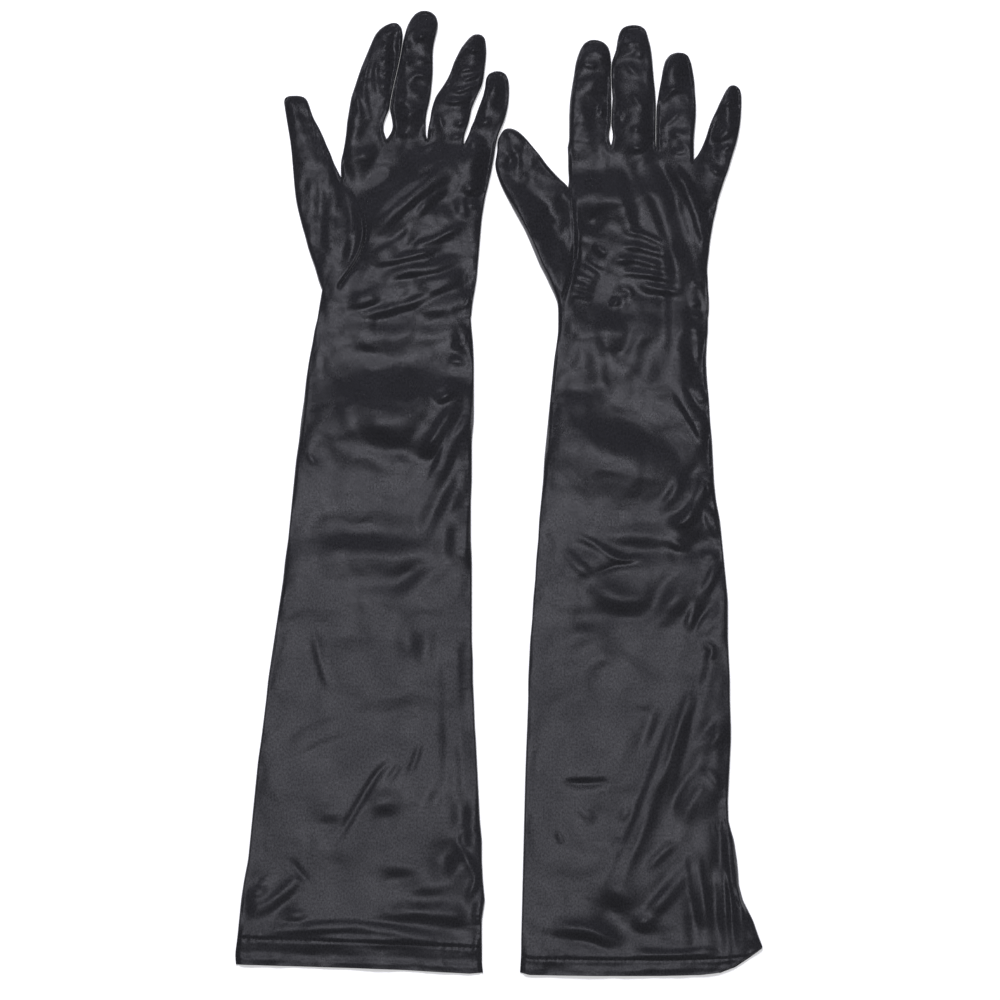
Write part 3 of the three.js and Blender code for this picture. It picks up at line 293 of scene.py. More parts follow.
# ------------------------------------------------------------------- folds
# Each fold is a crest: (height, width on its left, width on its right, taper, x0, y0, x1, y1, ...),
# left and right as seen going along it. A negative height is a hollow.
FOLDS = {
    "L": [
        (1.2, 4.2, 5.2, 0.6, -78.1, 155.3, -70.5, 162.9, -56.6, 175.6, -40.2, 186.9, -24.4, 198.3),
        (0.7, 2.4, 3, 0.8, -51.6, 163.6, -42.7, 174.3, -33.9, 181.9, -29.5, 186.3),
        (0.9, 3.8, 4, 0.8, -80.6, 137.7, -65.4, 145.2, -54.1, 152.8, -47.1, 161.7),
        (0.8, 2.4, 2.6, 0.7, -60.4, 145.9, -47.8, 148.4, -35.1, 152.8, -25, 159.1, -14.9, 159.8),
        (0.7, 2.3, 2.2, 0.7, -80.6, 135.8, -65.4, 138.9, -54.1, 141.5, -40.2, 145.2, -30.1, 149),
        (0.9, 3.4, 3.2, 0.7, -73, 126.9, -56.6, 132.6, -44, 133.3, -27.6, 138.9, -20, 144),
        (1, 4.2, 5, 0.7, -54.1, 125.7, -37.7, 124.4, -27.6, 128.2, -18.1, 131.4),
        (0.85, 2.2, 3.5, 0.5, -92, 108.9, -80.6, 107.1, -68, 109.6, -54.1, 113.7, -40.2, 120, -26.3, 125.7),
        (0.7, 5, 3.2, 0.6, -92.6, 118.7, -87.5, 113.7, -79.3, 114.3, -68, 122.5),
        (0.8, 4, 5, 0.8, -86.9, 195.8, -80.6, 201.4, -74.3, 208.4),
        (0.6, 2, 2.2, 0.7, -45.9, 204, -37.7, 206.5, -30.1, 202.7),
        (0.9, 4, 3, 0.7, -24.4, 183.1, -16.2, 181.2, -9.3, 184.4),
        (0.5, 2, 2, 0.7, -20, 171.8, -11.1, 173),
        (0.8, 4, 3, 0.7, -21.9, 162.3, -21.2, 171.1, -24.4, 178.7),
        (0.5, 3, 2.5, 0.7, -22.5, 213.4, -16.2, 207.1, -8.6, 214.7),
        (0.5, 5.5, 4.5, 0.6, -102.1, 132.6, -100.5, 156.6, -98.3, 175.6, -103.3, 188.2, -107.1, 207.1),
        (0.3, 3, 3, 0.6, -92.2, 131.4, -93.8, 150.3, -92.6, 169.2, -95.1, 183.1),
        (0.3, 4.5, 4, 0.6, -113.4, 154.1, -110.9, 181.9, -113.4, 207.1, -118.5, 224.8),
        (0.5, 1.6, 1.6, 0.4, -74.9, 218.5, -78.7, 229.8, -81.6, 239.9, -80, 252.6, -74.3, 267.7),
        (0.45, 1.6, 1.4, 0.5, -81.9, 223.5, -85.6, 236.2, -85.6, 242.5),
        (0.5, 1.6, 1.6, 0.4, -68.6, 232.4, -72.8, 241.2, -74.3, 251.3, -72.4, 263.9),
        (0.55, 1.7, 1.7, 0.6, -71.5, 235.9, -64.4, 237.4),
        (0.55, 1.7, 1.7, 0.6, -71.5, 243.1, -63.9, 245),
        (0.55, 1.7, 1.7, 0.6, -71.5, 251.3, -63.9, 251.9),
        (0.5, 1.7, 1.7, 0.6, -71.5, 258.9, -64.4, 258.9),
        (0.5, 1.7, 1.7, 0.6, -71.5, 267.1, -64.8, 268.4),
        (0.4, 1.7, 1.7, 0.6, -68, 275.3, -60.4, 276.6),
        (0.5, 1.8, 1.8, 0.7, -57.9, 267.1, -52.8, 268.4),
        (0.6, 2.2, 2.2, 0.7, -51.6, 271.5, -42.7, 274.7),
        (0.8, 2.6, 2.6, 0.7, -54.7, 243.1, -51.6, 250, -45.2, 251.9, -41.5, 245),
        (0.6, 2, 2, 0.7, -62.3, 232.4, -53.4, 234.9),
        (0.5, 1.6, 1.6, 0.7, -52.8, 238.7, -44, 237.4),
        (0.5, 1.8, 1.8, 0.7, -57.9, 257.6, -52.8, 258.9),
        (0.5, 1.6, 1.6, 0.7, -50.3, 259.5, -41.5, 257.6),
        (0.5, 1.8, 1.8, 0.7, -61.7, 214.7, -52.8, 216),
        (0.5, 2, 1.8, 0.7, -60.4, 224.8, -50.3, 227.3, -44, 232.4),
        (0.55, 1.8, 1.6, 0.7, -26.3, 251.3, -20, 254.5, -12.4, 253.2),
        (0.5, 1.5, 1.5, 0.7, -23.8, 246.9, -17.5, 248.2, -10.5, 251.9),
        (0.6, 1.7, 1.6, 0.7, -31.3, 239.9, -21.2, 241, -10.5, 246.5),
        (0.55, 1.6, 1.5, 0.7, -35.8, 235.1, -25, 233.4, -14.9, 239.9),
        (0.5, 1.8, 1.8, 0.7, -27.6, 219.1, -19.4, 223.5),
        (0.5, 1.8, 1.8, 0.7, -30.7, 211.5, -20.6, 214.7),
        (0.5, 1.6, 1.6, 0.6, -32.6, 214.7, -35.1, 221, -37, 229.8),
        (0.5, 2, 2, 0.7, -20, 263.9, -11.1, 266.5),
        (0.55, 2.4, 2.6, 0.7, -6.7, 241.8, 2.1, 245),
        (0.55, 2.4, 2.4, 0.7, -14.3, 220.4, -4.2, 223.5),
        (0.8, 3, 2.4, 0.6, -32, 79.8, -25.7, 79.2, -18.7, 76.7),
        (0.45, 2.4, 2.4, 0.6, -30.1, 83.6, -23.8, 91.2, -20, 86.2),
        (1.2, 5, 2.6, 0.6, -42.7, 58.4, -33.9, 55.6, -24.4, 64.7),
        (1.2, 4, 4, 0.5, -47.1, 17.3, -40.2, 28.7, -33.9, 38.8, -27.6, 48.9, -21, 57.1),
        (0.9, 3, 6, 0.5, -44, 0.3, -35.1, 18, -30.1, 33.1, -23.8, 44.5, -20.2, 54.6),
        (0.35, 1.5, 1.5, 0.7, -115.9, 24.3, -108.4, 15.4),
        (1.4, 9, 4.5, 0.4, -21.9, -51.5, -21.2, -25, -19.7, -3.5),
        (0.4, 3, 2.2, 0.6, -112.6, -79.2, -105.8, -107.8, -99.9, -121.3),
        (0.6, 7, 6, 0.3, -26.7, -192, -27.5, -141.5, -29.2, -74.2),
        (-0.8, 1.7, 1.5, 0.5, -62.1, -156.7, -73.8, -169.3, -87.3, -192, -99.1, -212.2),
        (-0.45, 1.5, 1.4, 0.6, -58.4, -161.7, -67.1, -174.4),
        (-0.55, 1.5, 1.4, 0.6, -46.6, -148.3, -51.6, -164.3, -55.7, -171),
        (0.85, 2.6, 2.8, 0.4, -12.4, -203, -21.7, -200.8, -26.2, -208, -18.6, -220.7, -13.2, -231.6, -18.3, -242.5, -20.3, -256.9),
        (0.6, 3, 4, 0.4, -152.1, -251.8, -137.8, -247.3, -126, -237.2, -121.3, -230.8, -112.6, -240),
        (-0.6, 2, 2, 0.6, -126.9, -218.1, -113.4, -236.6),
        (0.7, 3, 3.5, 0.3, -152.1, -259, -127.7, -261.4, -94.1, -259.4, -60.4, -262.4, -36.8, -267.8),
        (0.5, 3, 3, 0.6, -151.3, -239.2, -136.1, -240),
        (0.5, 3, 4, 0.6, -129.4, -253.5, -112.6, -253.5),
        (0.5, 6, 6, 0.5, -131.1, -158.4, -110.9, -144.9, -82.3, -134.8),
    ],
    "R": [
        (-0.8, 3, 3, 0.7, 8.7, 205.9, 6.9, 192.3),
        (0.5, 2, 2, 0.6, 34.2, 173.9, 41, 183.4),
        (0.5, 4, 4, 0.6, -2, 213.6, 8.7, 217.2, 21.7, 205.3),
        (0.4, 5, 5, 0.6, 21.7, 147.2, 30, 153.2),
        (1, 4, 6, 0.5, 45.5, 244.3, 56.1, 244.7, 66.6, 248.1),
        (0.5, 2, 2, 0.7, 51.4, 265.8, 58.5, 265.3, 66.2, 257.5),
        (0.8, 3, 3, 0.8, 58.5, 229.1, 64.5, 229.1),
        (0.5, 2, 2, 0.7, 47.8, 255.2, 53.8, 257.5, 59.7, 254),
        (0.4, 2, 2, 0.7, 58.5, 239.7, 65.6, 242.1),
        (0.55, 1.8, 1.8, 0.7, 74.5, 267, 81.7, 272.4, 88.2, 266.4),
        (0.6, 2, 2, 0.6, 75.1, 259.9, 78.7, 254, 85.8, 248.1),
        (0.6, 2, 2, 0.6, 77.5, 239.7, 84.6, 233.8, 89.4, 226.1),
        (0.6, 2.8, 2.8, 0.8, 69.8, 225.5, 75.1, 225.5),
        (0.55, 2, 2, 0.7, 78.1, 216.6, 86.4, 219),
        (0.6, 2, 2, 0.7, 76.3, 206.5, 89.4, 206.3),
        (0.45, 1.8, 1.8, 0.7, 82.2, 262.3, 87, 261.1),
        (0.6, 2, 2, 0.6, 96.5, 232.6, 106, 244.3, 114.3, 238.6),
        (0.6, 2, 2, 0.7, 95.3, 217.8, 103.6, 223.1, 109.5, 230.8),
        (0.65, 2.3, 2.3, 0.7, 101.2, 213.6, 108.3, 215.4, 114.3, 213.1),
        (0.6, 2, 2, 0.7, 101.8, 203.6, 114.3, 204.8),
        (0.4, 1.8, 1.8, 0.7, 95.3, 208.9, 101.2, 210.7),
        (0.5, 2, 2, 0.7, 132.1, 230.8, 142.1, 236.2),
        (0.75, 3, 3, 0.7, 124.4, 212.5, 135, 213.6, 142.1, 222),
        (0.5, 1.8, 1.8, 0.7, 132.7, 204.8, 141, 208.3),
        (0.6, 2.4, 2.4, 0.7, 125.5, 194.7, 135, 190.5),
        (1.05, 7, 6.5, 0.3, 115.5, 105.7, 110.7, 129.4, 106.6, 147.2, 102.4, 162.6, 97.1, 176.9, 88.2, 191.1, 76.3, 200.6),
        (1.2, 3.4, 3.4, 0.3, 124.7, 140.1, 122.8, 153.2, 119, 167.4, 112.1, 184, 104.8, 194.7, 101.2, 198.8),
        (0.75, 1.9, 2, 0.4, 72.2, 156.5, 84.6, 155.3, 96.5, 150.5, 101.8, 145.8),
        (0.75, 1.9, 2, 0.4, 69.8, 148.2, 83.4, 147.2, 96.5, 143.4, 103, 140.7),
        (0.75, 2, 2, 0.4, 65.6, 139.5, 81.1, 139.9, 94.1, 136.3, 104.2, 133.9),
        (0.75, 1.9, 2, 0.4, 70.4, 132.4, 84.6, 131.6, 96.5, 129.2, 106.6, 126.8),
        (0.75, 1.9, 2.4, 0.4, 79.9, 125.6, 89.4, 124.4, 101.2, 122.1, 110.1, 119.3),
        (0.6, 1.8, 1.8, 0.5, 50.8, 141.3, 58.5, 137.5, 63.9, 132.7),
        (0.6, 1.7, 1.7, 0.5, 48.4, 136.5, 56.1, 131.8, 61.5, 128),
        (0.6, 1.7, 1.7, 0.5, 44.3, 130.4, 52.6, 129.2, 59.1, 124.4),
        (0.6, 1.7, 1.7, 0.5, 42.9, 125.6, 52.6, 123.3, 57.9, 119.7),
        (0.55, 1.7, 1.7, 0.5, 41.9, 119.7, 50.2, 118.5, 56.7, 114.6),
        (0.6, 1.8, 1.8, 0.5, 55.6, 148.4, 60.3, 145.8, 65.6, 141.3),
        (0.45, 1.8, 1.8, 0.3, 69.8, 118.8, 74.5, 123.3, 81.3, 119.7, 76.9, 115.8, 71.6, 117),
        (0.6, 2.2, 1.8, 0.5, 65.6, 112.8, 72.8, 114),
        (0.7, 2, 3, 0.4, 79.6, 123.4, 94.3, 121.7, 111.8, 119.8),
        (0.6, 1.8, 2, 0.5, 66.9, 116.7, 74.9, 113.1),
        (0.45, 1.8, 1.8, 0.6, 113.8, 114.7, 121.8, 112),
        (0.45, 1.8, 1.8, 0.6, 113.8, 107.3, 123.1, 104.7),
        (0.45, 1.8, 1.8, 0.6, 114.4, 125.4, 123.1, 122.7),
        (0.4, 2, 2, 0.6, 114.4, 98.6, 123.1, 97.3),
        (0.5, 2.6, 2.6, 0.5, 119.8, 73.2, 119.1, 86.6, 118.5, 101.3),
        (1.4, 6, 6, 0.5, 97, -14.5, 106.4, -4.5, 112, 6.2, 112.8, 13.6),
        (1, 4, 4.2, 0.5, 97, -18.2, 107.7, -17.6, 117.1, -11.5, 122.2, -5.6),
        (0.8, 3, 3.2, 0.5, 121.8, -5.8, 127.2, -15.9, 132.9, -27.9),
        (0.8, 3, 3, 0.5, 101, -28.6, 115.8, -35),
        (0.7, 2.6, 2.6, 0.5, 118.5, -38.2, 133.2, -37.4),
        (0.85, 2.2, 2.5, 0.4, 42.1, -24.3, 56.9, -30.2, 67.6, -38.2, 74.9, -41.5, 87.7, -38),
        (-0.6, 1.6, 1.6, 0.5, 53.5, -50.7, 70.2, -43.6, 87, -42.3),
        (0.7, 3, 3, 0.5, 120.5, -64.5, 129.2, -47.4, 132.5, -39.3),
        (0.9, 3, 4, 0.5, 125.2, 49.1, 118.5, 59.8, 113.8, 67.8),
        (1, 3, 6, 0.4, 126.5, 25, 118.5, 41, 110.4, 54.4, 103.7, 65.1),
        (0.5, 3, 3, 0.6, 38.1, -32.6, 44.8, -42, 59.5, -52.7),
        (-1, 1.6, 2.6, 0.35, 35.5, -173.5, 51.1, -174.4, 68.7, -173.2),
        (-0.4, 1.5, 1.5, 0.6, 57.2, -164.8, 58.8, -170.1),
        (1.4, 4, 6, 0.3, 61.8, -248.2, 72.5, -225.2, 83.3, -199.2, 92.4, -174.7, 98.6, -156.3, 107.7, -130.3, 114.2, -116.5),
        (1.1, 4, 4, 0.4, 98.6, -183.9, 104.7, -159.4, 110.8, -136.4, 116.9, -118.1, 123.4, -103.5),
        (1.1, 4, 7, 0.5, 105.4, -199.2, 112.3, -181.6, 119.2, -170.4, 129.9, -169.3),
        (0.7, 2.5, 2.5, 0.5, 86.3, -228.3, 98.6, -215.3, 108.5, -208.4),
        (0.9, 3, 5, 0.5, 85.5, -255.8, 98.6, -242.8, 107.7, -231.3),
        (0.8, 3, 3, 0.4, 113.1, -85.9, 115.4, -73.7, 120.8, -64.5),
        (0.7, 2.5, 2.5, 0.4, 119.2, -89, 129.5, -93.6, 123, -103.5),
        (1.1, 3, 6, 0.4, 117.7, -89.8, 123, -78.3, 132.2, -67.6),
        (1.1, 4, 5, 0.4, 117.7, -157.9, 126.1, -147.9, 136.1, -136.4),
        (0.6, 2.6, 2.6, 0.5, 118.5, -162.5, 130.7, -171.6, 132.2, -180.8),
        (0.8, 4, 4, 0.4, 29.7, -260.4, 43.5, -262.3, 58.8, -263.8, 75.6, -275),
        (0.7, 4, 4, 0.6, 79.4, -257.7, 94.7, -259.2),
        (-0.5, 1.8, 1.8, 0.6, 34.3, -202.3, 39.2, -211.7),
        (0.4, 3, 3, 0.6, 44.2, -189.2, 52.6, -191.5, 58, -199.2),
        (1.2, 5, 4, 0.3, 124.9, -265, 118.8, -232.9, 116.9, -208.4),
        (1.3, 4, 3, 0.3, 135.6, -269.6, 134.1, -240.5, 132.5, -217.6),
        (1.6, 3, 5, 0.3, 144.2, -276.5, 143.3, -248.2, 138.4, -217.6, 136.8, -196.1),
        (0.8, 3, 3, 0.5, 153.7, -274.2, 149.1, -255.8),
        (0.7, 3, 2.5, 0.3, 74.1, -276.9, 107.7, -277.6, 133.8, -274.5),
        (0.5, 3, 3, 0.5, 72.5, -199.2, 78.7, -185.4),
        (0.5, 3, 3, 0.5, 67.9, -216, 74.1, -206.8),
    ],
}
TILTS = {
    "L": [
        (-119.4, 79.5, 12, 30, 0, 0.06),
        (-40.2, 104.7, 10, 8, 0, 0.16),
        (-22.2, 85.5, 6, 14, 20, 0.2),
        (-26.4, 64.5, 8, 7, 0, -0.2),
        (-22.2, 43.5, 6, 12, -20, 0.2),
        (-69, 57.9, 44, 24, 3, -0.19),
        (-60.6, 99.9, 36, 10, 4, -0.18),
        (-68.4, 22.5, 20, 8, -10, -0.16),
        (-44.4, 36.3, 16, 7, 48, -0.17),
        (-77.4, -30.3, 34, 12, 0, -0.22),
        (-33.6, -7.5, 6, 20, -25, 0.24),
        (-50.4, -51.3, 12, 7, 30, -0.22),
        (-59.4, -59.7, 20, 8, 0, -0.12),
        (-101.4, -195.3, 8, 6, 0, 0.16),
        (-69, -190.5, 8, 8, 0, 0.2),
        (-58.8, -228.3, 11, 7, 0, 0.22),
        (-44.4, -239.7, 14, 7, 0, 0.18),
        (-40.2, -182.1, 5, 9, -30, 0.14),
        (-28.2, -221.7, 9, 10, -20, 0.26),
        (-18.6, -193.5, 6, 10, 0, 0.28),
        (-18.6, -208.5, 6, 8, 0, 0.26),
        (-15, -249.3, 6, 8, 0, 0.24),
        (-50.4, -255.3, 26, 6, 0, 0.26),
        (-29.4, -259.5, 12, 7, 0, 0.24),
        (-132.6, -244.5, 14, 6, 38, 0.15),
        (-149.4, -247.5, 6, 8, 0, 0.2),
        (-125.4, -256.5, 12, 5, 0, 0.12),
        (-119.4, -265.5, 20, 4, 0, 0.12),
        (-59.4, -270.9, 34, 5, 0, 0.2),
        (-143.4, -233.7, 4, 8, -40, 0.16),
        (-64.8, 180.9, 30, 17, 38, -0.27),
        (-41.4, 204.3, 24, 10, 0, -0.27),
        (-11.4, 199.5, 9, 16, 0, -0.24),
        (-31.2, 117.3, 24, 7, 10, -0.17),
        (-59.4, 144.3, 10, 6, 20, -0.14),
        (-35.4, 170.7, 10, 8, 0, -0.14),
        (-89.4, 192.3, 6, 14, 20, 0.16),
        (-82.2, 223.5, 7, 15, -5, -0.2),
        (-44.4, 282.3, 9, 9, 0, -0.24),
        (-59.4, 250.5, 5, 28, 0, 0.3),
        (-56.4, 224.7, 6, 14, 0, 0.2),
        (-10.2, 266.7, 8, 9, 0, -0.26),
        (0, 242.7, 7, 10, 0, -0.2),
        (-11.4, 232.5, 6, 10, 0, 0.2),
        (-92.4, 277.5, 8, 8, 0, -0.12),
        (-60.6, 268.5, 4, 18, 0, 0.2),
        (-126, 217.5, 6, 30, 8, 0.16),
        (-92.4, 142.5, 8, 12, 0, -0.12),
        (-119.4, 151.5, 7, 24, 10, 0.1),
        (-119.4, -76.5, 30, 26, 0, 0.045),
        (-59.4, -124.5, 34, 26, 0, 0.035),
        (-108.6, 7.5, 12, 30, 0, -0.06),
        (-48.6, -91.5, 8, 10, 0, 0.2),
        (-23.4, -160.5, 5, 34, 0, 0.12),
    ],
    "R": [
        (60.6, 88.5, 7, 22, 12, 0.12),
        (78.6, 84.3, 6, 14, -25, 0.13),
        (93.6, 72.3, 10, 12, -20, 0.12),
        (45.6, 79.5, 10, 24, 0, 0.06),
        (101.4, 115.5, 5, 26, 0, 0.16),
        (50.4, 162.3, 9, 10, 0, -0.2),
        (71.4, 30.3, 44, 22, -20, -0.19),
        (53.4, 57.9, 16, 8, 0, -0.17),
        (84.6, 104.7, 42, 12, 0, -0.19),
        (114.6, 76.5, 9, 24, 0, -0.17),
        (77.4, 175.5, 6, 26, 14, -0.2),
        (58.2, 185.1, 28, 14, 0, -0.26),
        (54.6, 158.1, 17, 10, -10, -0.2),
        (109.8, 162.3, 5, 36, 14, 0.2),
        (77.4, 138.3, 8, 9, 0, -0.12),
        (91.8, 117.3, 30, 8, 0, -0.16),
        (27.6, 152.7, 17, 40, 30, -0.26),
        (7.8, 200.7, 4, 12, 10, 0.2),
        (18.6, 175.5, 14, 6, -30, -0.16),
        (120.6, 205.5, 8, 22, 0, -0.18),
        (53.4, 229.5, 14, 22, 0, -0.16),
        (90.6, 220.5, 13, 26, 0, -0.16),
        (109.8, 253.5, 11, 14, 0, -0.26),
        (54.6, 266.7, 12, 9, 0, -0.2),
        (78.6, 272.7, 11, 8, 0, -0.24),
        (124.2, 211.5, 7, 12, 0, -0.2),
        (141.6, 235.5, 6, 12, 0, -0.24),
        (85.8, -30.3, 27, 7, -4, 0.24),
        (116.4, -25.5, 12, 9, 0, 0.26),
        (115.8, 0.3, 7, 20, -28, 0.34),
        (129.6, 18.3, 5, 18, 0, 0.26),
        (77.4, -70.5, 30, 9, 0, 0.28),
        (60.6, -62.1, 16, 8, -30, 0.2),
        (51.6, -49.5, 16, 8, 30, 0.14),
        (99.6, -64.5, 8, 16, -35, 0.26),
        (60.6, 25.5, 12, 8, 0, 0.02),
        (47.4, -93.3, 12, 8, 0, 0.1),
        (62.4, -102.9, 7, 6, 0, 0.1),
        (86.4, -129.9, 7, 5, 0, 0.1),
        (51.6, -88.5, 8, 6, 0, 0.1),
        (70.2, -82.5, 12, 7, 0, 0.12),
        (96.6, -79.5, 9, 6, 0, 0.14),
        (129.6, -73.5, 7, 14, -10, 0.26),
        (127.8, -149.7, 6, 14, -20, 0.3),
        (116.4, -181.5, 8, 17, -35, 0.26),
        (91.8, -142.5, 5, 14, -20, 0.22),
        (120.6, -118.5, 5, 20, -14, 0.24),
        (83.4, -207.3, 5, 26, -22, 0.22),
        (70.8, -246.3, 12, 10, -12, 0.3),
        (88.2, -261.3, 12, 8, 0, 0.16),
        (45.6, -263.7, 14, 6, -8, 0.2),
        (61.8, -268.5, 12, 6, -20, 0.24),
        (103.8, -232.5, 5, 14, -40, 0.18),
        (120.6, -244.5, 6, 34, 0, 0.22),
        (135, -235.5, 4, 42, 0, 0.3),
        (143.4, -247.5, 4, 30, 0, 0.24),
        (36.6, -118.5, 24, 22, 0, 0.04),
        (54.6, -184.5, 26, 20, 0, 0.04),
        (42.6, -226.5, 20, 16, 0, 0.04),
    ],
}


def fold_field(xy, folds):
    """Summed height of the folds at each point."""
    shape = xy.shape[:-1]
    p = xy.reshape(-1, 2)
    z = np.zeros(len(p))
    for f in folds:
        amp, wl, wr, taper = f[:4]
        line = np.array(f[4:], float).reshape(-1, 2)
        if len(line) > 2:
            line = soften(line, 3.0, 1.0)
            line = resample(line, np.linspace(0, 1, max(3, int(np.hypot(*np.diff(line, axis=0).T).sum() / 2.5))))
        reach = 3.2 * max(wl, wr)
        box = (p[:, 0] > line[:, 0].min() - reach) & (p[:, 0] < line[:, 0].max() + reach) & (p[:, 1] > line[:, 1].min() - reach) & (p[:, 1] < line[:, 1].max() + reach)
        idx = np.nonzero(box)[0]
        if not len(idx):
            continue
        q = p[idx]
        seg = np.diff(line, axis=0)
        length = np.hypot(*seg.T)
        s0 = np.concatenate([[0], np.cumsum(length)])
        best = np.full(len(q), 1e9)
        along = np.zeros(len(q))
        sign = np.zeros(len(q))
        over = np.zeros(len(q))
        for k in range(len(seg)):
            rel = q - line[k]
            raw = (rel @ seg[k]) / (length[k] ** 2 + 1e-12)
            t = np.clip(raw, 0, 1)
            e = rel - t[:, None] * seg[k]
            dist = np.hypot(e[:, 0], e[:, 1])
            near = dist < best
            best = np.where(near, dist, best)
            along = np.where(near, (s0[k] + t * length[k]) / s0[-1], along)
            side = seg[k, 0] * rel[:, 1] - seg[k, 1] * rel[:, 0]
            sign = np.where(near, np.sign(side), sign)
        w = np.where(sign > 0, wl, wr)
        body = np.exp(-((best / w) ** np.where(w < 3, 1.8, np.where(w < 5, 2.8, 3.6))))
        if taper > 0:
            tau = 0.28 + 0.22 * min(1.0, max(wl, wr) * 4 / s0[-1])
            ends = smoothstep(along / tau) * smoothstep((1 - along) / tau)
        else:
            ends = 1.0
        z[idx] += amp * body * ends
    return z.reshape(shape)


def tilt_field(xy, tilts):
    """Patches of cloth that lean one way: (x, y, half length, half width, turn, slope)."""
    z = np.zeros(xy.shape[:-1])
    for x0, y0, rx, ry, rot, slope in tilts:
        c, s = math.cos(math.radians(rot)), math.sin(math.radians(rot))
        dx, dy = xy[..., 0] - x0, xy[..., 1] - y0
        u, v = dx * c + dy * s, dy * c - dx * s
        if rx < ry:  # a long patch that runs up the arm leans sideways
            z += slope * u * np.exp(-((u / rx) ** 2) - (v / ry) ** 2)
        else:
            lift = 0.46 * abs(slope) * ry if ry >= 20 and abs(slope) > 0.1 else 0.0  # keeps a broad lean off the layer below
            z += (slope * v + lift) * np.exp(-((u / rx) ** 2) - (v / ry) ** 2)
    return z


def loft(d, lip_r, lip, rise, reach):
    """Height of the cloth above its sewn edge at distance d: a round lip, then a slow rise."""
    k = np.clip(d / lip_r, 0, 1)
    return lip * np.sqrt(np.clip(1 - (1 - k) ** 2, 0, 1)) + rise * (1 - np.exp(-((d / reach) ** 1.25)))


def heights(g, xy, region, d, arc, seam, folds):
    """Upper and lower surface of the cloth at xy. region: 0 sleeve, 1 hand, 2 finger, 3 thumb, blended between."""
    x, y = xy[..., 0], xy[..., 1]
    sleeve = np.clip(1 - region, 0, 1)
    hand = np.clip(1 - np.abs(region - 1), 0, 1)
    digit = np.clip(region - 1, 0, 1)
    gentle = np.interp(y, [-290, -262, -240, -60, -20, 40], [1.0, 0.9, 0.78, 0.78, 0.9, 1.0])
    reach = 8.0 * sleeve + 7.0 * hand + 4.6 * digit
    rise = 0.4 * sleeve + 1.2 * hand + np.where(region > 2.5, 0.9, 1.25) * digit
    top = loft(d, 1.1, 1.2, rise, reach)
    seed = 11 if g == "L" else 57
    # slow unevenness of cloth that was folded and laid down
    slow = 0.8 * noise(x / 58 + 3.1, y / 44 + 1.7, seed) + 0.22 * noise(x / 27, y / 21, seed + 1)
    fine = 0.06 * noise(x / 9.5, y / 7.5, seed + 2) + 0.022 * noise(x / 4.3, y / 4.0, seed + 3)
    interior = smoothstep(d / 9.0)
    # crumple: the hand and the upper forearm are creased, the lower sleeve is nearly smooth
    soft = np.interp(y, [-290, -262, -235, -150, -60, 20, 70, 100], [0.5, 0.42, 0.2, 0.2, 0.28, 0.34, 0.46, 0.58])
    wx = x + 5.0 * noise(x / 19, y / 17, seed + 20)
    wy = y + 5.0 * noise(x / 21, y / 18, seed + 21)
    crumple = 1.0 * noise(wx / 17, wy / 15, seed + 22) + 0.24 * noise(wx / 7.2, wy / 6.4, seed + 23)
    small = 0.62 * noise(wx / 8.4, wy / 7.4, seed + 24) + 0.08 * noise(wx / 3.3, wy / 3.0, seed + 25)
    top = top + soft * (crumple * (1 - digit) * smoothstep(d / 5.0) + small * digit * smoothstep(d / 2.2))
    top = top + (slow * (sleeve + 0.6 * hand + 0.15 * digit)) * interior + fine * smoothstep(d / 3.0) * (0.8 + 1.2 * digit)
    top = top + 1.35 * gentle * (fold_field(xy, folds) + tilt_field(xy, TILTS[g])) * smoothstep(d / 2.4)
    # pucker along the seams: short ridges that run in from the stitching
    wave = arc / (3.1 + 0.7 * noise(arc / 23, seam * 0 + 0.5, seed + 4)) + 1.3 * noise(arc / 5.0, d / 30, seed + 5)
    gate = 0.35 + 0.65 * smoothstep(0.5 + 1.1 * noise(arc / 31, seam * 0 + 7.5, seed + 6))
    pucker = np.sin(2 * np.pi * wave / 2.0) * gate
    depth = 6.5 * sleeve + 6.0 * hand + 3.4 * digit
    size = (0.17 * sleeve + 0.20 * hand + 0.20 * digit) * seam + 0.03
    top = top + size * pucker * np.exp(-d / depth) * smoothstep(d / 0.9)
    # lower layer: lies on the table
    low = -loft(d, 1.3, 0.85, 0.0, reach)
    low = low + smoothstep(d / 6.0) * (0.10 * noise(x / 33, y / 27, seed + 7) + 0.05 * noise(x / 8, y / 6, seed + 8))
    low = low + 0.5 * size * pucker * np.exp(-d / depth) * smoothstep(d / 0.9)
    mid = 1.15
    zt, zb = mid + top, np.maximum(mid + low, 0.12)
    zt = np.maximum(zt, zb + 0.5 * np.clip(d / 0.8, 0, 1))
    return zt, zb, np.full_like(zt, mid)


PART = {}  # part name to number


def part_id(name):
    return PART.setdefault(name, len(PART))


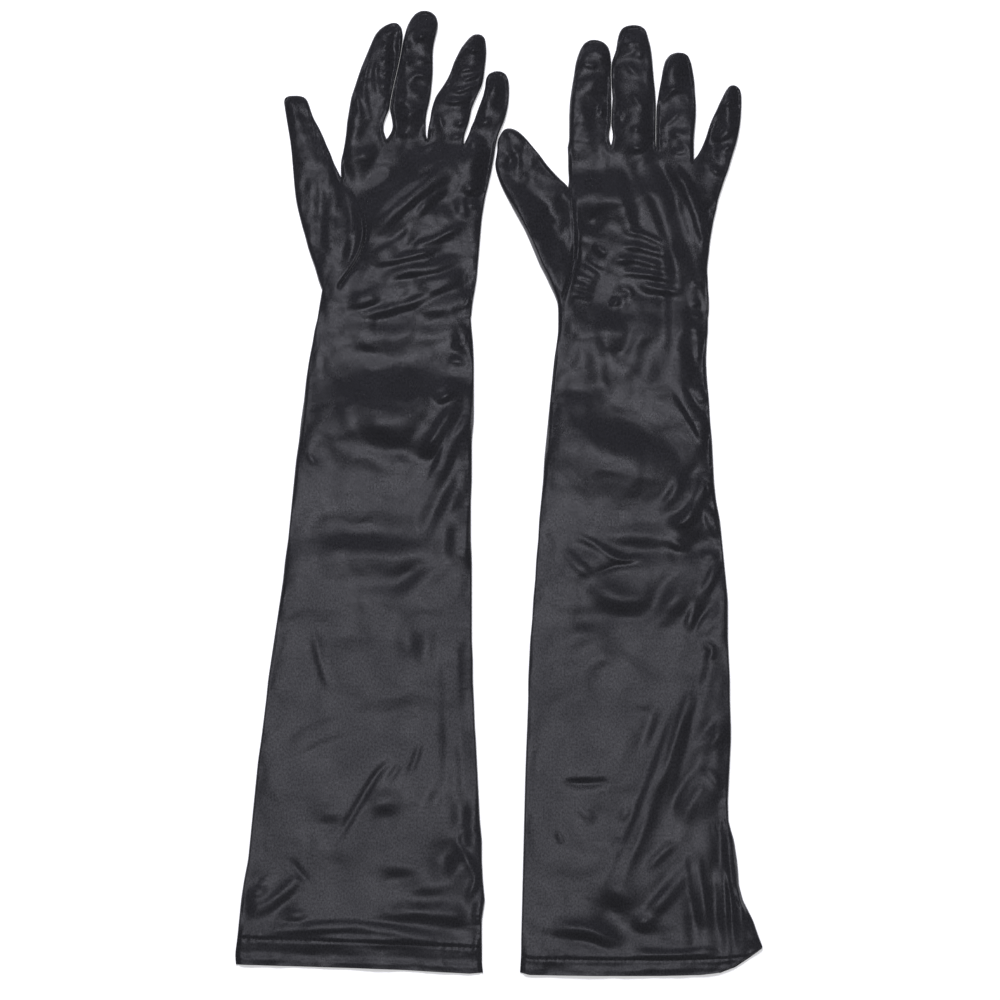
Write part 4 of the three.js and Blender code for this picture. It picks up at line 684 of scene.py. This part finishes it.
def glove_mesh(g):
    """The whole glove as one welded surface: vertices, quads, part number of each quad."""
    grids, marks = build_grids(g)
    segs = silhouette(grids, marks)
    side = {"L": "left", "R": "right"}[g]
    folds = FOLDS[g]
    verts, quads, parts, uvs = [], [], [], []
    count = 0
    o = OUT[g]
    ybase = np.asarray(o["base"], float)[:, 1].mean()
    ywrist = o["left_wrist"][0][1]
    for name, xy in grids.items():
        d, arc, seam = edge_field(xy, segs)
        y = xy[..., 1]
        nr, nc = xy.shape[0] - 1, xy.shape[1] - 1
        jj = np.arange(nr + 1)[:, None] * np.ones((1, nc + 1))
        if name == "trunk":
            region = smoothstep((y - (ywrist - 22)) / 40) + smoothstep((jj - (nr - 20)) / 20.0)
            # the root of the thumb
            c0, c1 = xy[marks["wrist_end"], 0], xy[marks["chord_end"], 0]
            chord = (c1 - c0) / np.hypot(*(c1 - c0))
            inward = np.array([chord[1], -chord[0]])
            off = (xy - c0) @ inward
            span = ((xy - c0) @ chord) / np.hypot(*(c1 - c0))
            region = np.maximum(region, np.where((span > 0) & (span < 1), 1 + (1 - smoothstep(off / 14)), 0) * smoothstep(span / 0.15) * smoothstep((1 - span) / 0.15))
        else:
            region = np.full(y.shape, 3.0 if name == "thumb" else 2.0)
        zt, zb, mid = heights(g, xy, region, d, arc, seam, folds)
        # places where the two layers are sewn together
        sewn = np.zeros(y.shape, bool)
        if name == "trunk":
            sewn[:, -1] = True
            sewn[: marks["wrist_end"] + 1, 0] = True
            sewn[marks["chord_end"] :, 0] = True
            for k in range(5):
                sewn[-1, k * NF] = True
        else:
            sewn[:, 0] = sewn[:, -1] = True
            sewn[-1, :] = True
            # carry the heights of the shared root over
            zt0, zb0 = roots[name]
            f = (1 - smoothstep(jj / 10.0))
            zt = zt + (zt0 - zt[0])[None] * f
            zb = zb + (zb0 - zb[0])[None] * f
        zt = np.where(sewn, mid, zt)
        zb = np.where(sewn, mid, zb)
        if name == "trunk":
            zt, zb = mouth(g, zt, zb, xy)
            zt = np.where(sewn, mid, zt)
            LAYERS[g] = (zt, zb, mid)
            roots = {f: (zt[-1, k * NF : (k + 1) * NF + 1], zb[-1, k * NF : (k + 1) * NF + 1]) for k, f in enumerate(FINGERS)}
            roots["thumb"] = (zt[marks["wrist_end"] : marks["chord_end"] + 1, 0], zb[marks["wrist_end"] : marks["chord_end"] + 1, 0])
        for layer, z in (("top", zt), ("low", zb)):
            v = np.concatenate([xy, z[..., None]], 2).reshape(-1, 3)
            i = np.arange(nr * (nc + 1)).reshape(nr, nc + 1)[:, :nc]
            q = np.stack([i, i + 1, i + nc + 2, i + nc + 1], -1)
            if layer == "low":
                q = q[..., ::-1]
            label = np.zeros((nr, nc), int)
            if name == "trunk":
                label[:] = part_id(side + "_sleeve_upper")
                label[marks["up_end"] :] = part_id(side + "_sleeve_forearm")
                label[marks["fore_end"] :] = part_id(side + "_hand")
            elif name == "thumb":
                label[:] = part_id(side + "_thumb")
            else:
                label[:] = part_id(f"{side}_{name}_finger")
                sides = {"index": (1,), "middle": (0, 1), "ring": (0, 1), "little": (0,)}[name]
                for s in sides:
                    cols = slice(0, 3) if s == 0 else slice(nc - 3, nc)
                    label[2 : nr - 9, cols] = part_id(f"{side}_{name}_fourchette_" + ("index_side", "little_side")[s])
            verts.append(v)
            quads.append(q.reshape(-1, 4) + count)
            parts.append(label.reshape(-1))
            count += len(v)
    V, Q, P = np.concatenate(verts), np.concatenate(quads), np.concatenate(parts)
    key = np.round(V * 20000).astype(np.int64)
    _, first, inverse = np.unique(key, axis=0, return_index=True, return_inverse=True)
    inverse = inverse.reshape(-1)
    V, Q = V[first], inverse[Q]
    return V, Q, P, grids, marks


def vertex_normals(V, Q):
    a, b, c, d = (V[Q[:, k]] for k in range(4))
    n = np.cross(c - a, d - b)
    out = np.zeros_like(V)
    for k in range(4):
        for ax in range(3):
            out[:, ax] += np.bincount(Q[:, k], n[:, ax], len(V))
    return out / (np.linalg.norm(out, axis=1, keepdims=True) + 1e-12)


def to_object(name, V, Q, N=None):
    """A Blender mesh from welded quads; a quad with two equal corners becomes a triangle."""
    used, inv = np.unique(Q, return_inverse=True)
    Q = inv.reshape(Q.shape)
    v = V[used]
    pts = np.stack([(v[:, 0] + DX) / 1000, (v[:, 1] + DY) / 1000, v[:, 2] / 1000], 1)
    same = (Q == np.roll(Q, -1, 1))
    bad = same.any(1)
    faces = Q[~bad].tolist()
    for q in Q[bad].tolist():
        f = []
        for i in q:
            if i not in f:
                f.append(i)
        if len(f) >= 3:
            faces.append(f)
    mesh = bpy.data.meshes.new(name)
    mesh.from_pydata(pts.tolist(), [], faces)
    mesh.update()
    mesh.polygons.foreach_set("use_smooth", [True] * len(mesh.polygons))
    if N is not None:
        mesh.normals_split_custom_set_from_vertices([tuple(n) for n in N[used]])
    obj = bpy.data.objects.new(name, mesh)
    bpy.context.scene.collection.objects.link(obj)
    return obj


HEM = {"L": 18.0, "R": 12.0}  # depth of the turned-up edge
STITCH_IN = 2.5  # the stitching lies this far from the hem's inner edge
THUMB_SEAM = {
    "L": [(-92.4, 187.0), (-86, 176.5), (-80.5, 166.5), (-79.2, 156.3), (-81.5, 145.5), (-86.9, 135.9), (-92.6, 128.0), (-95.6, 123.6)],
    "R": [(43.2, 182.5), (44.2, 171.3), (45.6, 156), (45.2, 141.3), (42.4, 128), (38.8, 117.4)],
}
FOLDS["L"] += [(-0.55, 1.2, 1.2, 0) + tuple(v for p in THUMB_SEAM["L"] for v in p)]
FOLDS["L"] += [(0.7, 1.8, 2.2, 0.2) + tuple(v for p in THUMB_SEAM["L"] for v in (p[0] - 2.2, p[1] - 0.3))]
FOLDS["R"] += [(-0.5, 1.1, 1.1, 0) + tuple(v for p in THUMB_SEAM["R"] for v in p)]
FOLDS["R"] += [(0.5, 1.6, 1.6, 0.2) + tuple(v for p in THUMB_SEAM["R"] for v in (p[0] + 1.8, p[1]))]

side_of = {"L": "left", "R": "right"}
MESH = {}


def mouth(g, zt, zb, xy):
    """Lets the cloth down towards the mouth, with the hem as a flat doubled band."""
    dm = xy[..., 1] - xy[:1, :, 1]
    depth = HEM[g]
    line = depth - STITCH_IN
    x = xy[..., 0]
    down = 1 - smoothstep(dm / (depth + (7 if g == "L" else 4)))
    keep = 1.9 + 0.5 * noise(x / 21, dm / 15, 71) + 0.25 * noise(x / 8, dm / 9, 72)
    inner = smoothstep(np.minimum(x - x[:, :1], x[:, -1:] - x) / 3.2)
    low = zb + keep * inner
    zt2 = zt * (1 - down) + np.minimum(zt, low) * down
    wob = 1.1 * noise(x / 24, 0 * x + 0.5, 74 if g == "L" else 75)
    some = 0.6 + 0.7 * noise(x / 30, 0 * x + 3.5, 76)
    roll = 0.32 * some * np.exp(-(((dm - 3.4 - wob) / 1.9) ** 2)) - 0.3 * np.exp(-(((dm - 7.5 - wob) / 3.0) ** 2))
    groove = -0.24 * np.exp(-(((dm - line) / 0.8) ** 2)) + 0.30 * some * np.exp(-(((dm - line - 2.2 - 0.7 * wob) / 1.7) ** 2)) + 0.10 * np.exp(-(((dm - line + 1.9) / 1.3) ** 2))
    pull = 0.10 * np.sin(2 * np.pi * (x + 2 * noise(x / 13, dm * 0, 73)) / 5.2) * np.exp(-((dm - line) / 3.2) ** 2)
    sag = -(0.95 if g == "L" else 0.4) * (0.75 + 0.5 * noise(x / 34, 0 * x + 9.5, 77)) * smoothstep((line - dm) / line)
    return np.maximum(zt2 + (roll * (1.0 if g == "L" else 0.6) + groove + pull + sag) * inner, zb + 0.9 * inner), zb


def capsule_row(points, normals, radius, length, pitch, sink):
    """Stitches along a line: short thread ends that dip into the cloth. Returns vertices and quads."""
    p = np.asarray(points, float)
    s = np.concatenate([[0], np.cumsum(np.linalg.norm(np.diff(p, axis=0), axis=1))])
    n = max(1, int(s[-1] / pitch))
    verts, quads = [], []
    nn = np.asarray(normals, float)
    for k in range(n):
        mid = (k + 0.5) * s[-1] / n
        t = np.linspace(mid - length / 2, mid + length / 2, 6)
        c = np.stack([np.interp(t, s, p[:, a]) for a in range(3)], 1)
        m = np.stack([np.interp(t, s, nn[:, a]) for a in range(3)], 1)
        m /= np.linalg.norm(m, axis=1, keepdims=True) + 1e-9
        u = np.linspace(-1, 1, 6)
        c = c + m * (radius * 0.55 - sink * u[:, None] ** 4)
        tan = np.gradient(c, axis=0)
        tan /= np.linalg.norm(tan, axis=1, keepdims=True) + 1e-9
        b = np.cross(tan, m)
        b /= np.linalg.norm(b, axis=1, keepdims=True) + 1e-9
        w = np.cross(b, tan)
        r = radius * np.sqrt(np.clip(1 - 0.75 * u**4, 0.2, 1))
        ang = np.linspace(0, 2 * np.pi, 7)[:-1]
        ring = c[:, None] + r[:, None, None] * (np.cos(ang)[None, :, None] * b[:, None] + np.sin(ang)[None, :, None] * w[:, None])
        base = len(verts) * 38
        caps = np.stack([c[0] - tan[0] * radius * 0.5, c[-1] + tan[-1] * radius * 0.5])
        verts.append(np.concatenate([ring.reshape(-1, 3), caps]))
        for i in range(5):
            for j in range(6):
                a0, a1 = base + i * 6 + j, base + i * 6 + (j + 1) % 6
                quads.append((a0, a1, a1 + 6, a0 + 6))
        for j in range(6):
            quads.append((base + 36, base + (j + 1) % 6, base + j, base + j))
            quads.append((base + 37, base + 30 + j, base + 30 + (j + 1) % 6, base + 30 + (j + 1) % 6))
    return np.concatenate(verts), np.array(quads)


def sample_surface(V, N, want_up, pts):
    """Height and normal of the upper (or lower) surface at plan points, from the nearest vertices."""
    pick = N[:, 2] > 0.15 if want_up else N[:, 2] < -0.15
    P, M = V[pick], N[pick]
    out, nor = [], []
    for q in pts:
        d2 = (P[:, 0] - q[0]) ** 2 + (P[:, 1] - q[1]) ** 2
        k = np.argpartition(d2, 5)[:5]
        w = 1 / (d2[k] + 0.05)
        w /= w.sum()
        out.append((q[0], q[1], float((P[k, 2] * w).sum())))
        nor.append((M[k] * w[:, None]).sum(0))
    return np.array(out), np.array(nor)


def uv_from_plan(obj):
    """Texture coordinates in metres along and across the cloth."""
    mesh = obj.data
    co = np.empty(len(mesh.vertices) * 3)
    mesh.vertices.foreach_get("co", co)
    co = co.reshape(-1, 3)
    loops = np.empty(len(mesh.loops), int)
    mesh.loops.foreach_get("vertex_index", loops)
    layer = mesh.uv_layers.new(name="cloth")
    uv = co[loops][:, :2] * 2.0 + 0.5
    layer.data.foreach_set("uv", uv.astype(np.float32).ravel())


# ------------------------------------------------------------------ materials
def satin(name, base, rough, grain, mottled=0.25, weave=1.0):
    m = bpy.data.materials.new(name)
    m.use_nodes = True
    t = m.node_tree
    n, l = t.nodes, t.links
    b = n["Principled BSDF"]
    b.inputs["Metallic"].default_value = 0.0
    b.inputs["IOR"].default_value = 1.5
    b.inputs["Specular IOR Level"].default_value = 0.5
    b.inputs["Sheen Weight"].default_value = 0.06
    b.inputs["Sheen Roughness"].default_value = 0.4
    b.inputs["Sheen Tint"].default_value = (0.75, 0.75, 0.85, 1)
    uv = n.new("ShaderNodeUVMap")
    uv.uv_map = "cloth"

    def mapped(sx, sy, rot=0.0):
        k = n.new("ShaderNodeMapping")
        k.inputs["Scale"].default_value = (sx, sy, 1)
        k.inputs["Rotation"].default_value = (0, 0, rot)
        l.new(uv.outputs["UV"], k.inputs["Vector"])
        return k.outputs["Vector"]

    # warp floats: fine threads along the length, broken up by the satin's irregular binding
    warp = n.new("ShaderNodeTexNoise")
    warp.inputs["Scale"].default_value = 1.0
    warp.inputs["Detail"].default_value = 2.0
    warp.inputs["Roughness"].default_value = 0.6
    l.new(mapped(1500, 420), warp.inputs["Vector"])
    cross = n.new("ShaderNodeTexNoise")
    cross.inputs["Scale"].default_value = 1.0
    cross.inputs["Detail"].default_value = 1.0
    l.new(mapped(520, 640, 0.5), cross.inputs["Vector"])
    twill = n.new("ShaderNodeTexWave")
    twill.wave_type = "BANDS"
    twill.bands_direction = "DIAGONAL"
    twill.inputs["Scale"].default_value = 1.0
    twill.inputs["Distortion"].default_value = 1.5
    twill.inputs["Detail"].default_value = 1.0
    l.new(mapped(640, 300), twill.inputs["Vector"])
    add = n.new("ShaderNodeMath")
    add.operation = "MULTIPLY_ADD"
    add.inputs[1].default_value = 0.8
    l.new(cross.outputs["Fac"], add.inputs[0])
    l.new(warp.outputs["Fac"], add.inputs[2])
    add2 = n.new("ShaderNodeMath")
    add2.operation = "MULTIPLY_ADD"
    add2.inputs[1].default_value = 0.25 * weave
    l.new(twill.outputs["Fac"], add2.inputs[0])
    l.new(add.outputs[0], add2.inputs[2])
    bump = n.new("ShaderNodeBump")
    bump.inputs["Strength"].default_value = grain
    bump.inputs["Distance"].default_value = 0.00012
    l.new(add2.outputs[0], bump.inputs["Height"])
    l.new(bump.outputs["Normal"], b.inputs["Normal"])
    # slow change of shade and gloss: handling marks and crushed pile
    slow = n.new("ShaderNodeTexNoise")
    slow.inputs["Scale"].default_value = 1.0
    slow.inputs["Detail"].default_value = 4.0
    l.new(mapped(26, 18), slow.inputs["Vector"])
    ramp = n.new("ShaderNodeMapRange")
    ramp.inputs["From Min"].default_value = 0.3
    ramp.inputs["From Max"].default_value = 0.7
    ramp.inputs["To Min"].default_value = rough - 0.03 * mottled / 0.25
    ramp.inputs["To Max"].default_value = rough + 0.05 * mottled / 0.25
    l.new(slow.outputs["Fac"], ramp.inputs["Value"])
    # the sleeve, handled less, is a little more matt than the hand
    part = n.new("ShaderNodeSeparateXYZ")
    l.new(uv.outputs["UV"], part.inputs["Vector"])
    up = n.new("ShaderNodeMapRange")
    up.inputs["From Min"].default_value = 0.30
    up.inputs["From Max"].default_value = 0.62
    up.inputs["To Min"].default_value = 0.05
    up.inputs["To Max"].default_value = 0.0
    l.new(part.outputs["Y"], up.inputs["Value"])
    total = n.new("ShaderNodeMath")
    total.operation = "ADD"
    l.new(ramp.outputs["Result"], total.inputs[0])
    l.new(up.outputs["Result"], total.inputs[1])
    l.new(total.outputs[0], b.inputs["Roughness"])
    # thread-to-thread speckle in the colour and in the shine
    speck = n.new("ShaderNodeTexNoise")
    speck.inputs["Scale"].default_value = 1.0
    speck.inputs["Detail"].default_value = 3.0
    speck.inputs["Roughness"].default_value = 0.7
    l.new(mapped(480, 330), speck.inputs["Vector"])
    mixf = n.new("ShaderNodeMath")
    mixf.operation = "MULTIPLY_ADD"
    mixf.inputs[1].default_value = 0.35
    l.new(slow.outputs["Fac"], mixf.inputs[0])
    l.new(speck.outputs["Fac"], mixf.inputs[2])
    cr = n.new("ShaderNodeValToRGB")
    e = cr.color_ramp.elements
    e[0].position, e[1].position = 0.42, 0.92
    e[0].color = tuple(v * 0.55 for v in base) + (1,)
    e[1].color = tuple(v * 1.6 for v in base) + (1,)
    l.new(mixf.outputs[0], cr.inputs["Fac"])
    l.new(cr.outputs["Color"], b.inputs["Base Color"])
    shine = n.new("ShaderNodeMapRange")
    shine.inputs["From Min"].default_value = 0.3
    shine.inputs["From Max"].default_value = 0.7
    shine.inputs["To Min"].default_value = 0.30
    shine.inputs["To Max"].default_value = 0.72
    l.new(speck.outputs["Fac"], shine.inputs["Value"])
    l.new(shine.outputs["Result"], b.inputs["Specular IOR Level"])
    return m


MAT = {
    "satin": satin("black_satin", (0.0125, 0.0125, 0.0150), 0.245, 0.2),
    "fourchette": satin("black_satin_side", (0.011, 0.011, 0.013), 0.26, 0.2),
    "hem": satin("black_satin_reverse", (0.012, 0.012, 0.0142), 0.52, 0.55, 0.15),
    "thread": satin("black_thread", (0.012, 0.012, 0.014), 0.42, 0.8, 0.2, 2.0),
}


def slot_of(name):
    if "stitching" in name or "seam" in name:
        return "thread", "thread"
    if "hem_band" in name:
        return "hem", "hem_lining"
    if "fourchette" in name:
        return "fourchette", "fourchette_satin"
    return "satin", "satin"


def attach(obj, name, g):
    """Gives a finished piece texture coordinates and its material, puts the upper-sleeve pieces on their body, bakes
    the transform of every other piece in place, and hides its CAD part.
    """
    side = side_of[g]
    mat, slot_name = slot_of(name)
    uv_from_plan(obj)
    obj.data.materials.append(MAT[mat])
    if name.endswith(("sleeve_upper", "hem_band", "hem_stitching", "side_seam_upper")):
        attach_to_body(obj, side + "_upper")
    elif name.endswith(("sleeve_forearm", "side_seam_forearm")):
        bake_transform(obj)
    elif name.endswith(("_hand", "side_seam_hand", "thumb_seam")):
        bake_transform(obj)
    elif name.endswith("_thumb"):
        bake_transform(obj)
    else:
        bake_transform(obj)
    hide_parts(name)
    return obj


def build(g):
    side = side_of[g]
    V, Q, P, grids, marks = glove_mesh(g)
    N = vertex_normals(V, Q)
    for name, pid in PART.items():
        if not name.startswith(side):
            continue
        attach(to_object(name + "_cloth", V, Q[P == pid], N), name, g)
    # the hem: the edge turned in and lying against the inside of both layers
    t = grids["trunk"]
    depth = HEM[g]
    n = 0
    while t[n, 0, 1] - t[0, 0, 1] < depth:
        n += 1
    nc = t.shape[1] - 1
    zt, zb, mid = LAYERS[g]
    loops = []
    for j in range(n + 1):
        top = np.concatenate([t[j], zt[j][:, None]], 1)
        low = np.concatenate([t[j, 1:-1], zb[j, 1:-1][:, None]], 1)[::-1]
        loops.append(np.concatenate([top, low]))
    loops = np.array(loops)
    m = loops.shape[1]
    # outward direction across the band
    fwd = np.roll(loops, -1, 1) - np.roll(loops, 1, 1)
    along = np.gradient(loops, axis=0)
    nor = np.cross(fwd, along)
    nor /= np.linalg.norm(nor, axis=2, keepdims=True) + 1e-9
    # turn every normal outward
    centre = loops.mean(1, keepdims=True)
    flip = np.sign(((loops - centre) * nor * np.array([0.15, 0.0, 4.0])).sum(2, keepdims=True))
    nor = nor * np.where(flip == 0, 1, flip)
    inner = loops - 0.42 * nor
    first, inn0 = loops[0], inner[0]
    ring = [first]
    for a in (30, 60, 90, 120, 150):
        c = math.cos(math.radians(a))
        s = math.sin(math.radians(a))
        midp = (first + inn0) / 2
        ring.append(midp + (first - inn0) / 2 * c + np.array([0, -0.26, 0]) * s)
    band = np.array(ring + list(inner))
    v = band.reshape(-1, 3)
    q = []
    R = len(band)
    idx = np.arange(R * m).reshape(R, m)
    nxt = np.roll(idx, -1, 1)
    q = np.stack([idx[:-1], idx[1:], nxt[1:], nxt[:-1]], -1).reshape(-1, 4)
    hem = to_object(side + "_hem_fold", v, q)
    attach(hem, side + "_hem_band", g)
    # stitches
    line = depth - STITCH_IN
    js = np.array([t[:, c, 1] - t[0, c, 1] for c in range(nc + 1)])
    xs = np.linspace(0.02, 0.98, 80)
    hemrow = np.stack([np.interp(xs, np.linspace(0, 1, nc + 1), t[0, :, a]) for a in (0, 1)], 1)
    pts = hemrow + np.array([0, line])
    sets = []
    for up in (True, False):
        p3, n3 = sample_surface(V, N, up, pts)
        sets.append(capsule_row(p3, n3, 0.24, 2.1, 2.8, 0.25))
    vv = np.concatenate([s[0] for s in sets])
    vv[:, 2] = np.maximum(vv[:, 2], 0.02)
    qq = np.concatenate([sets[0][1], sets[1][1] + len(sets[0][0])])
    attach(to_object(side + "_hem_stitches", vv, qq), side + "_hem_stitching", g)
    p3, n3 = sample_surface(V, N, True, resample(soften(THUMB_SEAM[g], 1.5), np.linspace(0.02, 0.98, 60)))
    vv, qq = capsule_row(p3, n3, 0.22, 1.7, 2.4, 0.22)
    attach(to_object(side + "_thumb_stitches", vv, qq), side + "_thumb_seam", g)
    for part, a, b in (("upper", 0, marks["up_end"]), ("forearm", marks["up_end"], marks["fore_end"]), ("hand", marks["fore_end"], t.shape[0] - 1)):
        e = t[a : b + 1, -1]
        tan = np.gradient(e, axis=0)
        tan /= np.linalg.norm(tan, axis=1, keepdims=True)
        out = np.stack([tan[:, 1], -tan[:, 0], 0 * tan[:, 0]], 1)
        p3 = np.concatenate([e, np.full((len(e), 1), 1.15)], 1) - out * 0.24
        vv, qq = capsule_row(p3, out, 0.17, 1.9, 2.6, 0.2)
        attach(to_object(f"{side}_seam_stitches_{part}", vv, qq), f"{side}_side_seam_{part}", g)


LAYERS = {}
for g in ("L", "R"):
    build(g)

# ------------------------------------------------------------ floor, light
floor_mesh = bpy.data.meshes.new("floor")
S = 4.0
floor_mesh.from_pydata([(-S, -S, 0), (S, -S, 0), (S, S, 0), (-S, S, 0)], [], [(0, 1, 2, 3)])
floor = bpy.data.objects.new("floor", floor_mesh)
bpy.context.scene.collection.objects.link(floor)
fm = bpy.data.materials.new("paper_floor")
fm.use_nodes = True
fb = fm.node_tree.nodes["Principled BSDF"]
fb.inputs["Base Color"].default_value = (0.86, 0.86, 0.86, 1)
fb.inputs["Roughness"].default_value = 0.95
fb.inputs["Specular IOR Level"].default_value = 0.0
fb.inputs["Emission Color"].default_value = (1, 1, 1, 1)
fb.inputs["Emission Strength"].default_value = 0.4
floor_mesh.materials.append(fm)

cx, cy, _ = M(0.6, -4.5, 0)


def area_light(name, loc, aim, size, power):
    d = bpy.data.lights.new(name, "AREA")
    d.shape = "RECTANGLE"
    d.size, d.size_y = size
    d.energy = power
    o = bpy.data.objects.new(name, d)
    o.location = loc
    o.rotation_euler = (Vector(aim) - Vector(loc)).to_track_quat("-Z", "Y").to_euler()
    d.color = (0.90, 0.895, 1.0)
    bpy.context.scene.collection.objects.link(o)
    return o


area_light("overhead", (cx - 0.05, cy - 0.28, 4.6), (cx - 0.05, cy - 0.28, 0), (1.2, 1.4), 16.5)
area_light("kicker", (cx - 0.35, cy + 0.95, 4.5), (cx, cy, 0), (0.6, 0.45), 2.6)
area_light("key", (cx - 0.6, cy + 2.6, 2.7), (cx, cy, 0), (1.1, 0.9), 150).visible_glossy = False
# two low soft boxes, seen in the satin only when it is looked at from the side
for name, sx, sy in (("side_box_a", -1, 1), ("side_box_b", 1, -1)):
    area_light(name, (cx + 2.5 * sx, cy + 2.5 * sy, 1.7), (cx, cy, 0), (2.8, 1.3), 11)

world = bpy.data.worlds.new("studio")
bpy.context.scene.world = world
world.use_nodes = True
wn = world.node_tree.nodes
wl = world.node_tree.links
bg = wn["Background"]
bg.inputs["Color"].default_value = (1, 1, 1, 1)
bg.inputs["Strength"].default_value = 0.15
white = wn.new("ShaderNodeBackground")
white.inputs["Color"].default_value = (1, 1, 1, 1)
white.inputs["Strength"].default_value = 1.0
lp = wn.new("ShaderNodeLightPath")
mx = wn.new("ShaderNodeMixShader")
wl.new(lp.outputs["Is Camera Ray"], mx.inputs["Fac"])
wl.new(bg.outputs["Background"], mx.inputs[1])
wl.new(white.outputs["Background"], mx.inputs[2])
wl.new(mx.outputs["Shader"], wn["World Output"].inputs["Surface"])

bpy.context.scene.view_settings.view_transform = "Standard"
bpy.context.scene.view_settings.look = "None"

cam_data = bpy.data.cameras.new("camera")
cam_data.type = "PERSP"
cam_data.sensor_width = 36
cam_data.lens = 240
cam_data.clip_end = 20
cam = bpy.data.objects.new("camera", cam_data)
cam.location = (cx, cy, 4.0)
cam.rotation_euler = (0, 0, 0)
bpy.context.scene.collection.objects.link(cam)
bpy.context.scene.camera = cam
